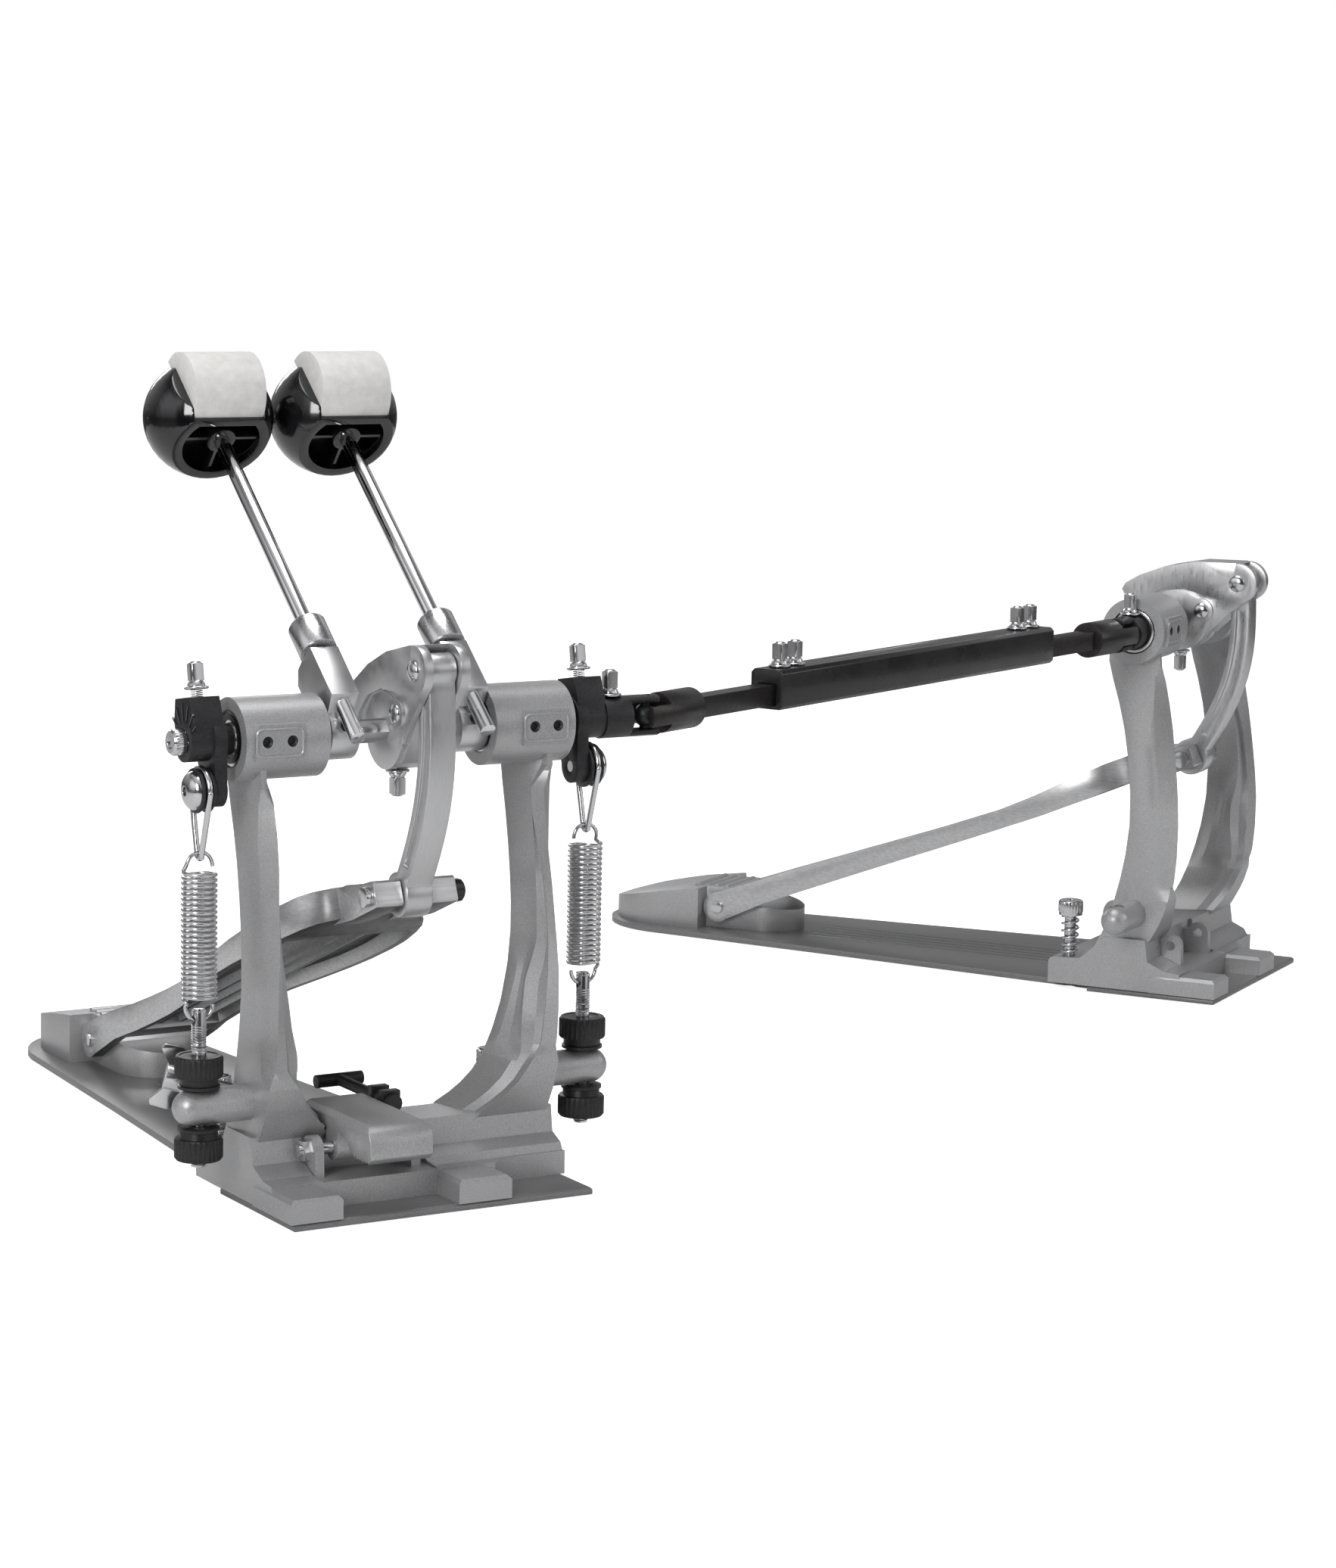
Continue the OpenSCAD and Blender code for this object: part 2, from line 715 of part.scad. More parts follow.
// cam: [u, w] with u from the axle through the pin
cam_edge = [[-17, -10], [-22.5, -30], [-22, -35.5], [-18, -37.6], [-7, -37.2], [10.8, -33.4],
    [30.7, -25.3], [cam_r + 6, -11.4], [cam_r, 12.5], [30, 13.5], [12, 17.5], [-4, 12]];
// part of the left cheek that lies deeper than its rim
cheek_hollow = [[-24, -19], [-14, -22.5], [0, -22.5], [13.7, -15.6], [24, -5], [32, 3], [39, 9],
    [42, 16], [30, 20], [0, 25], [-24, 10]];
cam_left = link_x - link_side - cheek_t;
cam_right = link_x + link_side + cheek_t;
cam_hub_r = 19.5;
cam_pin_r = 4;
cam_tip_r = 12.6;
lobe_at = [17, 3];
lobe_r = 7.5;
dome_r = 5.2;
eye_r = 8.5;
module in_cam(a) {
    translate([0, axle_h])
        rotate(a)
            children();
}
module cam(a) {
    difference() {
        union() {
            side_solid(cam_left, cam_right)
                in_cam(a) {
                    polygon(cam_edge);
                    translate([cam_r, 0])
                        circle(cam_tip_r);
                }
            bar_x(cam_left + 1, cam_right, cam_hub_r, 0, axle_h);
        }
        difference() {
            side_solid(cam_left - 1, cam_left + 2)
                in_cam(a)
                    polygon(cheek_hollow);
            bar_x(cam_left + 1, cam_left + 3, cam_hub_r, 0, axle_h);
            side_solid(cam_left, cam_left + 3)
                in_cam(a)
                    translate(lobe_at)
                        circle(lobe_r);
        }
        side_solid(link_x - link_side, link_x + link_side)
            in_cam(a) {
                translate([cam_r, 0])
                    circle(eye_r + wide_gap);
                polygon([[cam_r - 3.6, -8.9], [cam_r - 14, 2.6], [cam_r - 55, 22.5], [cam_r - 60, 80],
                    [cam_r + 40, 80], [cam_r + 40, -9.5], [cam_r, -9.5]]);
            }
        side_solid(cam_left - 1, cam_right + 1)
            in_cam(a)
                translate([cam_r, 0])
                    circle(cam_pin_r + seat);
        hexagon_x(cam_left - 1, cam_right + 1, hex_af + 2 * seat);
        bar_z(axle_h - cam_hub_r - 1, axle_h - hex_af / 2, 3 + seat, 1);
    }
}
// round head on a face that looks to -X
module dome(x, at) {
    intersection() {
        translate([x + dome_r - 0.6, at[0], at[1]])
            sphere(norm([dome_r, dome_r - 0.6]));
        box([x - 10, at[0] - 10, at[1] - 10], [x, at[0] + 10, at[1] + 10]);
    }
}
module cam_screws(a) {
    side_solid(cam_left - 0.5, cam_right + 0.5)
        in_cam(a)
            translate([cam_r, 0])
                circle(cam_pin_r);
    for (q = [[cam_r, 0], lobe_at])
        dome(cam_left, axle_at + [q[0] * cos(a) - q[1] * sin(a), q[0] * sin(a) + q[1] * cos(a)]);
    side_solid(cam_right, cam_right + 2.4)
        in_cam(a)
            translate([cam_r, 0])
                circle(dome_r + 0.6);
    translate([1, 0, axle_h - cam_hub_r - seat])
        rotate([180, 0, 0])
            key_screw(cam_hub_r - hex_af / 2 - 0.3);
}

// link between cam and toe of the board
link_bow = 12.2;
link_depth = 12.8;
toe_eye_r = 11.5;
module link(pin, toe) {
    turn = atan2(toe[1] - pin[1], toe[0] - pin[0]);
    steps = 14;
    front = [for (i = [0:steps]) [link_len * i / steps,
        -link_bow * sin(180 * i / steps) - link_depth / 2]];
    rear = [for (i = [steps:-1:0]) [link_len * i / steps,
        -link_bow * sin(180 * i / steps) + link_depth / 2]];
    groove_front = [for (i = [2:steps - 2]) [link_len * i / steps, -link_bow * sin(180 * i / steps) - 2.6]];
    groove_rear = [for (i = [steps - 2:-1:2]) [link_len * i / steps, -link_bow * sin(180 * i / steps) + 2.6]];
    difference() {
        side_solid(link_x - link_w / 2, link_x + link_w / 2)
            translate(pin)
                rotate(turn)
                    difference() {
                        union() {
                            polygon(concat(front, rear));
                            circle(eye_r);
                            translate([link_len, 0])
                                circle(toe_eye_r);
                        }
                        circle(cam_pin_r + run);
                        translate([link_len, 0])
                            circle(pin_r + toe_play);
                    }
        for (x = [link_x - link_w / 2 - 1, link_x + link_w / 2 - 1.5])
            side_solid(x, x + 2.5)
                translate(pin)
                    rotate(turn)
                        polygon(concat(groove_front, groove_rear));
    }
}

// footboard in its own frame: y = -distance from the hinge, z across the board
board_plan = [for (q = [[-10, 31.6], [36, 31.6], [58, 27.2], [80, 25.4], [100, 25], [122, 26.8],
    [145, 31], [168, 36.8], [190, 41.6], [212, 44.8], [235, 45.8], [255, 44.8], [272, 42.4], [286, 39],
    [297, 34.6], [305, 29], [310.5, 20], [313, 8]]) [q[0] > 36 ? q[0] * board_scale : q[0], q[1]]];
board_top = [for (q = [[0, 9.6], [36, 8.8], [60, 8], [100, 6.8], [150, 5], [190, 4.4], [220, 5], [250, 7],
    [275, 9.8], [298, 12.4], [313, 13]]) [q[0] * board_scale, q[1]]];
board_low = [for (q = [[313, -3], [285, -5.4], [250, -6.8], [200, -7], [36, -7], [0, -9.6]])
    [q[0] * board_scale, q[1]]];
module on_board(toe) {
    translate([0, heel_y, heel_z])
        rotate([atan2(toe[1] - heel_z, toe[0] - heel_y) - 180, 0, 0])
            children();
}
module board_outline(inset, from) {
    pts = [for (q = board_plan) if (q[0] >= from) q];
    polygon(concat([for (q = pts) [q[1] - inset, -q[0]]],
        [for (i = [len(pts) - 1:-1:0]) [inset - pts[i][1], -pts[i][0]]]));
}
module toe_arm(x0, x1) {
    side_solid(x0, x1)
        translate([-board_len, 0])
            polygon([[66, -4], [66, 8.5], [44, 12.4], [22, 11.5], [4, toe_boss_r + 1],
                [-5.5, toe_boss_r], [-7, toe_boss_r - 1.5], [-7, 1 - toe_boss_r], [-6, -toe_boss_r],
                [22, -6.5], [44, -4.2]]);
}
module footboard(toe) {
    on_board(toe)
        difference() {
            union() {
                intersection() {
                    translate([0, 0, -30])
                        linear_extrude(60)
                            board_outline(0, -20);
                    side_solid(-60, 60) {
                        polygon([for (q = concat(board_top, board_low)) [-q[0], q[1]]]);
                        circle(ear_r);
                    }
                }
                toe_arm(link_x + link_side, link_x + link_side + boss_w);
                toe_arm(link_x - link_side - boss_w, link_x - link_side);
            }
            box([-tongue_w - gap, -deck_from, -30], [tongue_w + gap, ear_r + 1, 30]);
            difference() {
                intersection() {
                    translate([0, 0, -30])
                        linear_extrude(60)
                            board_outline(rail_t, deck_from);
                    side_solid(-60, 60)
                        polygon(concat([for (q = board_top) if (q[0] > deck_from - 5) [-q[0], q[1] - deck_t]],
                            [[-board_len, -30], [-deck_from, -30]]));
                    box([-60, 68 - board_len, -30], [60, -deck_from - 3, 30]);
                }
                for (x = [-13, 0, 13])
                    box([x - 1.3, -board_len, -4.5], [x + 1.3, 0, 20]);
            }
            bar_x(-60, 60, heel_pin_r + seat);
            bar_x(-60, 60, pin_r + seat, -board_len, 0);
        }
}
module board_pins(toe) {
    on_board(toe) {
        bar_x(-ear_w - 1.2, ear_w + 1.2, heel_pin_r);
        bar_x(link_x - link_side - boss_w - 2, link_x + link_side + boss_w + 3, pin_r, -board_len, 0);
        bar_x(link_x - link_side - boss_w - 3.5, link_x - link_side - boss_w, 5, -board_len, 0);
        bar_x(link_x + link_side + boss_w, link_x + link_side + boss_w + 5, 5.2, -board_len, 0, 6);
    }
}
module heel_block() {
    round_end = [for (t = [0:15:180]) [38.5 * cos(t), heel_y + 45 + 41 * sin(t)]];
    difference() {
        union() {
            intersection() {
                translate([0, 0, plate_t])
                    linear_extrude(40)
                        polygon(concat([[-38.5, heel_y + ear_r + 1], [38.5, heel_y + ear_r + 1]], round_end));
                side_solid(-50, 50)
                    polygon([[heel_y, plate_t], [heel_y, heel_z + 13], [heel_y + 14, heel_z + 12.4],
                        [heel_y + 40, heel_z + 8.6], [heel_y + 70, heel_z + 2.4], [heel_y + 84, heel_z - 1.4],
                        [heel_y + 90, heel_z - 5], [heel_y + 90, plate_t]]);
            }
            intersection() {
                side_solid(-tongue_w, tongue_w)
                    polygon([[heel_y - 50, plate_t], [heel_y - 50, heel_z - 1], [heel_y - 38, heel_z + 1],
                        [heel_y - 25, heel_z + 3], [heel_y - 14, heel_z + 10], [heel_y - 6, heel_z + 12.8],
                        [heel_y + 14, heel_z + 12.4], [heel_y + 20, plate_t]]);
                union() {
                    bar_z(0, 50, tongue_w, 0, heel_y - 24);
                    box([-tongue_w, heel_y - 24, 0], [tongue_w, heel_y + 21, 50]);
                }
            }
            for (i = [0:3])
                bar_x(-22, 22, 2.2, heel_y - 2 + 7 * i, heel_z + 11.8);
        }
        bar_x(-60, 60, heel_pin_r + run, heel_y, heel_z);
    }
}

// universal joints and drive shaft, joint at the origin
module fork(from) {
    difference() {
        union() {
            bar_x(-from, -fork_base, fork_r);
            intersection() {
                bar_x(-fork_base - 1, fork_past, fork_r);
                union() {
                    box([-fork_base - 1, -fork_w, fork_gap], [fork_past, fork_w, fork_r + 1]);
                    box([-fork_base - 1, -fork_w, -fork_r - 1], [fork_past, fork_w, -fork_gap]);
                }
            }
        }
        children();
    }
}
module trunnion_bore() {
    bar_z(-fork_r - 1, fork_r + 1, 2.6 + seat);
}
module stub_pins() {
    bar_z(6.2, fork_gap + 0.1, 2.6);
    bar_z(-fork_gap - 0.1, -6.2, 2.6);
}
module joint_cross() {
    intersection() {
        cube(11.2, center = true);
        sphere(5.9);
    }
    bar_z(-fork_r + 0.6, fork_r - 0.6, 2.6);
}
module coupler() {
    difference() {
        translate(joint_at)
            fork(joint_x - rocker_out - 0.3)
                trunnion_bore();
        hexagon_x(rocker_out - 1, joint_x - fork_base - 3.9, hex_af + 2 * seat);
        bar_z(axle_h + hex_af / 2, axle_h + fork_r + 1, 3 + seat, rocker_out + 7);
    }
}
module drive_screws() {
    rocker_screws();
    beater_hub_screws(right_beater_x);
    translate([rocker_out + 7, 0, axle_h + fork_r + seat])
        key_screw(fork_r - hex_c);
}
module first_bar() {
    on_shaft() {
        rotate([90, 0, 180]) {
            fork(socket_to);
            stub_pins();
        }
        box([socket_to - 1, -bar_w / 2, -bar_w / 2], [230, bar_w / 2, bar_w / 2]);
    }
}
module tube() {
    on_shaft()
        difference() {
            side_solid(tube_from, tube_to)
                difference() {
                    polygon([[-tube_w, -tube_low + 2], [2 - tube_w, -tube_low], [tube_w - 2, -tube_low],
                        [tube_w, -tube_low + 2], [tube_w, tube_high - 2], [tube_w - 2, tube_high],
                        [2 - tube_w, tube_high], [-tube_w, tube_high - 2]]);
                    square(bar_w + 0.6, center = true);
                }
            for (s = screw_rows)
                bar_z(0, tube_high + 1, 3 + seat, s);
        }
}
screw_rows = [tube_from + 12, tube_from + 27, tube_to - 27, tube_to - 12];
module tube_screws() {
    on_shaft()
        for (s = screw_rows)
            translate([s, 0, tube_high])
                key_screw(tube_high - bar_w / 2 - 0.5);
}
module second_bar() {
    on_shaft() {
        translate([shaft_len, 0, 0])
            rotate([90, 0, 0]) {
                fork(socket_to);
                stub_pins();
            }
        box([300, -bar_w / 2, -bar_w / 2], [shaft_len - socket_to + 1, bar_w / 2, bar_w / 2]);
    }
}
second_sleeve = barrel_out + 0.8;
second_screw_x = second_sleeve + 6.2;
module second_axle() {
    difference() {
        union() {
            hexagon_x(-second_sleeve - 1, barrel_out + 1, hex_af);
            journals(-barrel_out - 0.9, -barrel_in + 0.5);
            journals(barrel_in - 0.5, barrel_out + 0.6);
            translate([-second_joint_x, 0, axle_h])
                rotate([0, 0, 180])
                    fork(second_joint_x - second_sleeve)
                        trunnion_bore();
        }
        bar_z(axle_h + hex_c, axle_h + fork_r + 1, 3 + seat, -second_screw_x);
    }
}

// nodes
module primary_base_plate() color(plate_grey) base_plate();
module primary_floor_plate() color(plate_grey) floor_plate();
module primary_frame() color(cast_grey) frame_casting();
module primary_heel_block() color(cast_grey) heel_block();
module primary_bearings() color(steel) bearing_set();
module clamp_bolt() color(steel) lug_bolt();
module drum_key() color(black) key_and_clips();
module primary_left_spur() color(steel) spur(-spur_x, 5.5);
module primary_right_spur() color(steel) spur(spur_x, 5.5);
module clamp_jaw() color(cast_grey) jaw();
module clamp_wing_bolt() color(steel) wing_screw();
module left_tension_bolt() color(steel) mirror([1, 0, 0]) tension_bolt();
module right_tension_bolt() color(steel) tension_bolt();
module left_tension_knobs() color(black) mirror([1, 0, 0]) tension_knobs();
module right_tension_knobs() color(black) tension_knobs();
module left_spring() color(steel) mirror([1, 0, 0]) coil_spring();
module right_spring() color(steel) coil_spring();
module left_stirrup() color(steel) mirror([1, 0, 0]) stirrup();
module right_stirrup() color(steel) stirrup();
module primary_axle() color(steel) main_axle();
module left_rocker() color(black) mirror([1, 0, 0]) rocker();
module left_pulley() color(black) mirror([1, 0, 0]) pulley();
module left_beater_hub() color(steel) beater_at(left_beater_x) beater_hub();
module left_beater_collar() color(steel) beater_at(left_beater_x) beater_collar();
module left_beater_rod() color(steel) beater_at(left_beater_x) beater_rod();
module left_beater_head() color(black) beater_at(left_beater_x) beater_head();
module left_beater_felt() color(felt_white) beater_at(left_beater_x) beater_felt();
module primary_cam() color(steel) cam(cam_angle);
module primary_axle_screws() color(steel) {
    mirror([1, 0, 0]) {
        rocker_screws();
        bar_x(rocker_out, rocker_out + 6, 6.5, 0, axle_h);
    }
    beater_hub_screws(left_beater_x);
    cam_screws(cam_angle);
}
module primary_link() color(steel) link(cam_pin, toe_pin);
module primary_footboard() color(cast_grey) footboard(toe_pin);
module primary_footboard_pins() color(steel) board_pins(toe_pin);
module drive_axle() color(steel) second_beater_axle();
module right_rocker() color(black) rocker();
module right_pulley() color(black) pulley();
module right_beater_hub() color(steel) beater_at(right_beater_x) beater_hub();
module right_beater_collar() color(steel) beater_at(right_beater_x) beater_collar();
module right_beater_rod() color(steel) beater_at(right_beater_x) beater_rod();
module right_beater_head() color(black) beater_at(right_beater_x) beater_head();
module right_beater_felt() color(felt_white) beater_at(right_beater_x) beater_felt();
module drive_coupler() color(black) coupler();
module drive_axle_screws() color(steel) drive_screws();
module primary_joint_cross() color(steel) translate(joint_at) joint_cross();
module primary_shaft_bar() color(black) first_bar();
module shaft_tube() color(black) tube();
module shaft_tube_screws() color(steel) tube_screws();
module secondary_shaft_bar() color(black) second_bar();
module secondary_joint_cross() color(steel) at_second() translate([-second_joint_x, 0, axle_h]) joint_cross();
module secondary_axle() color(black) at_second() second_axle();
module secondary_cam() color(steel) at_second() cam(second_cam_angle);
module secondary_axle_screws() color(steel) at_second() {
    cam_screws(second_cam_angle);
    translate([-second_screw_x, 0, axle_h + fork_r + seat])
        key_screw(fork_r - hex_c - 0.1);
}
module secondary_link() color(steel) at_second() link(second_cam_pin, second_toe_pin);
module secondary_footboard() color(cast_grey) at_second() footboard(second_toe_pin);
module secondary_footboard_pins() color(steel) at_second() board_pins(second_toe_pin);
module secondary_frame() color(cast_grey) at_second() frame_casting();
module secondary_base_plate() color(plate_grey) at_second() base_plate();
module secondary_floor_plate() color(plate_grey) at_second() floor_plate();
module secondary_heel_block() color(cast_grey) at_second() heel_block();
module secondary_bearings() color(steel) at_second() bearing_set();
module secondary_spurs() color(steel) at_second() {
    spur(-spur_x, 7.5);
    spur(spur_x, 7.5);
}

primary_base_plate();
primary_floor_plate();
primary_frame();
primary_heel_block();
primary_bearings();
clamp_bolt();
drum_key();
primary_left_spur();
primary_right_spur();
clamp_jaw();
clamp_wing_bolt();
left_tension_bolt();
right_tension_bolt();
left_tension_knobs();
right_tension_knobs();
left_spring();
right_spring();
left_stirrup();
right_stirrup();
primary_axle();
left_rocker();
left_pulley();
left_beater_hub();
left_beater_collar();
left_beater_rod();
left_beater_head();
left_beater_felt();
primary_cam();
primary_axle_screws();
primary_link();
primary_footboard();
primary_footboard_pins();
drive_axle();
right_rocker();
right_pulley();
right_beater_hub();
right_beater_collar();
right_beater_rod();
right_beater_head();
right_beater_felt();
drive_coupler();
drive_axle_screws();
primary_joint_cross();
primary_shaft_bar();
shaft_tube();
shaft_tube_screws();
secondary_shaft_bar();
secondary_joint_cross();
secondary_axle();
secondary_cam();
secondary_axle_screws();
secondary_link();
secondary_footboard();
secondary_footboard_pins();
secondary_frame();
secondary_base_plate();
secondary_floor_plate();
secondary_heel_block();
secondary_bearings();
secondary_spurs();
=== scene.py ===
import json
import math

import bpy
import bmesh
from mathutils import Matrix, Vector


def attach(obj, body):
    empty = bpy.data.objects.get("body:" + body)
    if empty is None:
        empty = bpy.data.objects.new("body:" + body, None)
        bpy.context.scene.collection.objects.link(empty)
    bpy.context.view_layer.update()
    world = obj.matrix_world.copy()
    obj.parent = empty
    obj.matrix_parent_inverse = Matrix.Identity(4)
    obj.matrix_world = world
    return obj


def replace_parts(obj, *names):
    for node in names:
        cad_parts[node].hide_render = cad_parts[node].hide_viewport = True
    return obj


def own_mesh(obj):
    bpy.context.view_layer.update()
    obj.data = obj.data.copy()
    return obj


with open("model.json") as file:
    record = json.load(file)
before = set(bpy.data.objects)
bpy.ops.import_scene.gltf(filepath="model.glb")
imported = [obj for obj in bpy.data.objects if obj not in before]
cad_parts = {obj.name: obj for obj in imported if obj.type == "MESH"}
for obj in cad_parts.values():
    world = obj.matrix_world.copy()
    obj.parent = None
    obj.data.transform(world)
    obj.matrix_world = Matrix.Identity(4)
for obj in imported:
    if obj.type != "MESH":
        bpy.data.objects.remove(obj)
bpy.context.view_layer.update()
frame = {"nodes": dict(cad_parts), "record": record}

# Sizes are in millimetres and angles in degrees. piece() turns them into metres.
MM = 0.001
AXLE_H = 232                # height of all axles
ROCKER_LEAN = 9.7
ROD_LEAN = 49.6
ROCKER_OUT = 115            # outer end of both rockers
PULLEY_DROP = 23.8          # from the axle to the pulley that carries the stirrup
BOLT_X, BOLT_Y = 107.5, -3  # line of each tension bolt and its spring
BOSS_Z = 52.5               # middle of the boss that the tension bolt passes through
HUB_LEFT, HUB_RIGHT = -34, 37.7
SPUR_X, SPUR_Y = 76, 40
SECOND_X, SECOND_Y, SECOND_TURN = 708, 275, 32.6  # place of the second pedal
JOINT_X, SHAFT_TURN = 143, 24.4546  # first universal joint, and the way that the shaft points
CAM_LEFT = -8               # left side of the cam
LINK_REACH = 46.6           # from the axle to the link's pin on the cam
BEARING_IN, BEARING_OUT = 46.2, 90.8  # open faces of the two bearings in a barrel
PAD_X, PAD_Y = 73.5, -21.3  # flat pad on the front of each barrel
SHAFT_SCREWS = (127, 142, 385, 400)  # along the shaft, from its first joint
# from the axis of an axle or of the shaft to the seat of a key screw
ROCKER_SEAT, CAM_SEAT, END_SEAT, TUBE_SEAT = 24.8, 19.8, 10.9, 13.8
ROUND_FROM = 38             # edges that turn more than this are rounded


def spin(angle, axis):
    return Matrix.Rotation(math.radians(angle), 4, axis)


def at(x, y, z):
    return Matrix.Translation((x, y, z))


def leaning(x, angle):
    """A place on the axle, tipped with what turns there."""
    return at(x, 0, AXLE_H) @ spin(-angle, "X")


def polar(r, angle):
    return r * math.cos(math.radians(angle)), r * math.sin(math.radians(angle))


def clamp(value):
    return max(0.0, min(1.0, value))


MAIN = Matrix.Identity(4)
SECOND = at(SECOND_X, SECOND_Y, 0) @ spin(SECOND_TURN, "Z")
SHAFT = at(JOINT_X, 0, AXLE_H) @ spin(SHAFT_TURN, "Z")
FLIP = Matrix.Scale(-1, 4, (1, 0, 0))
TO_X, TO_Y, DOWN = spin(90, "Y"), spin(-90, "X"), spin(180, "X")
PEDALS = (("primary", MAIN, "main_pedal", "main_board"),
          ("secondary", SECOND, "second_pedal", "second_board"))


# Materials
def new_node(tree, kind, values=None, **settings):
    """Shader node with its settings, and with default values for the sockets that are named."""
    node = tree.nodes.new("ShaderNode" + kind)
    for name, value in settings.items():
        setattr(node, name, value)
    for socket, value in (values or {}).items():
        node.inputs[socket].default_value = value
    return node


def new_material(name, values):
    mat = bpy.data.materials.new(name)
    mat.use_nodes = True
    tree = mat.node_tree
    tree.nodes.clear()
    out = new_node(tree, "OutputMaterial")
    shader = new_node(tree, "BsdfPrincipled", values)
    tree.links.new(shader.outputs["BSDF"], out.inputs["Surface"])
    return mat, tree, shader, new_node(tree, "TexCoord").outputs["Object"]


def noise(tree, vector, scale, detail=4.0, rough=0.55, stretch=None):
    node = new_node(tree, "TexNoise", {"Scale": scale, "Detail": detail, "Roughness": rough})
    if stretch:
        mapping = new_node(tree, "Mapping", {"Scale": stretch})
        tree.links.new(vector, mapping.inputs["Vector"])
        vector = mapping.outputs["Vector"]
    tree.links.new(vector, node.inputs["Vector"])
    return node.outputs["Fac"]


def ramp(tree, value, stops):
    """Colours between the stops, which are (place, colour) pairs."""
    node = new_node(tree, "ValToRGB")
    ends = node.color_ramp.elements
    ends[0].position, ends[0].color = stops[0][0], (*stops[0][1], 1)
    ends[1].position, ends[1].color = stops[-1][0], (*stops[-1][1], 1)
    for place, color in stops[1:-1]:
        middle = ends.new(place)
        middle.color = (*color, 1)
    tree.links.new(value, node.inputs["Fac"])
    return node.outputs["Color"]


def spread(tree, value, low, high, ends=(0.35, 0.65)):
    """The value, with its range between the ends mapped to low and high."""
    limits = {"From Min": ends[0], "From Max": ends[1], "To Min": low, "To Max": high}
    node = new_node(tree, "MapRange", limits)
    tree.links.new(value, node.inputs["Value"])
    return node.outputs["Result"]


def bump(tree, shader, height, strength, distance, before=None):
    node = new_node(tree, "Bump", {"Strength": strength, "Distance": distance})
    tree.links.new(height, node.inputs["Height"])
    if before is not None:
        tree.links.new(before, node.inputs["Normal"])
    tree.links.new(node.outputs["Normal"], shader.inputs["Normal"])
    return node.outputs["Normal"]


def blend(tree, first, second, mode="MIX", amount=1.0):
    node = new_node(tree, "MixRGB", {"Fac": amount}, blend_type=mode)
    tree.links.new(first, node.inputs["Color1"])
    tree.links.new(second, node.inputs["Color2"])
    return node


def grey(tone):
    return tone, tone, tone * 1.01


def cast_paint(name, tone, metal=0.55, rough=0.4):
    """Silver paint with fine speckles and faint broad clouds."""
    mat, tree, shader, coords = new_material(name, {"Metallic": metal})
    fine = noise(tree, coords, 1900, 2.0, 0.6)
    broad = noise(tree, coords, 14, 3.0)
    light = grey(min(1, tone * 1.22))
    speckle = ramp(tree, fine, [(0.3, grey(tone * 0.78)), (0.5, grey(tone)), (0.72, light)])
    clouds = ramp(tree, broad, [(0.3, grey(0.86)), (0.7, grey(1.0))])
    mix = blend(tree, speckle, clouds, "MULTIPLY", 0.35)
    tree.links.new(mix.outputs["Color"], shader.inputs["Base Color"])
    tree.links.new(spread(tree, fine, rough - 0.07, rough + 0.08), shader.inputs["Roughness"])
    bump(tree, shader, fine, 0.25, 0.00012)
    return mat


def brushed(name, tone, stretch, rough=0.3, metal=1.0, grain=0.12):
    """Metal with fine lines along the axes that have the small stretch."""
    mat, tree, shader, coords = new_material(name, {"Metallic": metal})
    lines = noise(tree, coords, 1500, 3.0, 0.62, stretch)
    broad = noise(tree, coords, 22, 3.0)
    dull, bright = grey(tone * (1 - grain)), grey(min(1, tone * (1 + grain)))
    tree.links.new(ramp(tree, lines, [(0.25, dull), (0.75, bright)]), shader.inputs["Base Color"])
    both = new_node(tree, "Math", operation="ADD")
    tree.links.new(spread(tree, lines, -0.05, 0.07), both.inputs[0])
    tree.links.new(spread(tree, broad, rough - 0.02, rough + 0.03), both.inputs[1])
    tree.links.new(both.outputs[0], shader.inputs["Roughness"])
    bump(tree, shader, lines, 0.18, 0.00008)
    return mat


def polished(name, tone, rough):
    mat, tree, shader, coords = new_material(name, {"Metallic": 1.0})
    smudge = noise(tree, coords, 60, 5.0)
    color = ramp(tree, smudge, [(0.3, grey(tone * 0.94)), (0.7, grey(tone))])
    tree.links.new(color, shader.inputs["Base Color"])
    tree.links.new(spread(tree, smudge, rough, rough + 0.07), shader.inputs["Roughness"])
    bump(tree, shader, noise(tree, coords, 300, 2.0), 0.02, 0.00001)
    return mat


def dark(name, color, rough, grain_scale, bump_height, metal=0.0, coat=0.0):
    """Black or brown finish with a fine grain, and a clear coat on the glossy ones."""
    values = {"Metallic": metal, "Coat Weight": coat, "Coat Roughness": 0.08}
    mat, tree, shader, coords = new_material(name, values)
    grain = noise(tree, coords, grain_scale, 3.0, 0.6)
    broad = noise(tree, coords, 30, 4.0)
    low, high = (tuple(c * factor for c in color) for factor in (0.75, 1.35))
    tree.links.new(ramp(tree, grain, [(0.3, low), (0.7, high)]), shader.inputs["Base Color"])
    tree.links.new(spread(tree, broad, rough - 0.05, rough + 0.08), shader.inputs["Roughness"])
    bump(tree, shader, grain, 0.35, bump_height)
    return mat


def felt_cloth(name):
    mat, tree, shader, coords = new_material(name, {"Roughness": 0.95, "Sheen Weight": 0.35})
    fibre = noise(tree, coords, 900, 6.0, 0.7)
    tuft = noise(tree, coords, 160, 4.0, 0.6)
    color = ramp(tree, tuft, [(0.3, (0.80, 0.79, 0.76)), (0.7, (0.93, 0.92, 0.90))])
    tree.links.new(color, shader.inputs["Base Color"])
    first = bump(tree, shader, tuft, 0.35, 0.0006)
    bump(tree, shader, fibre, 0.6, 0.0004, first)
    return mat


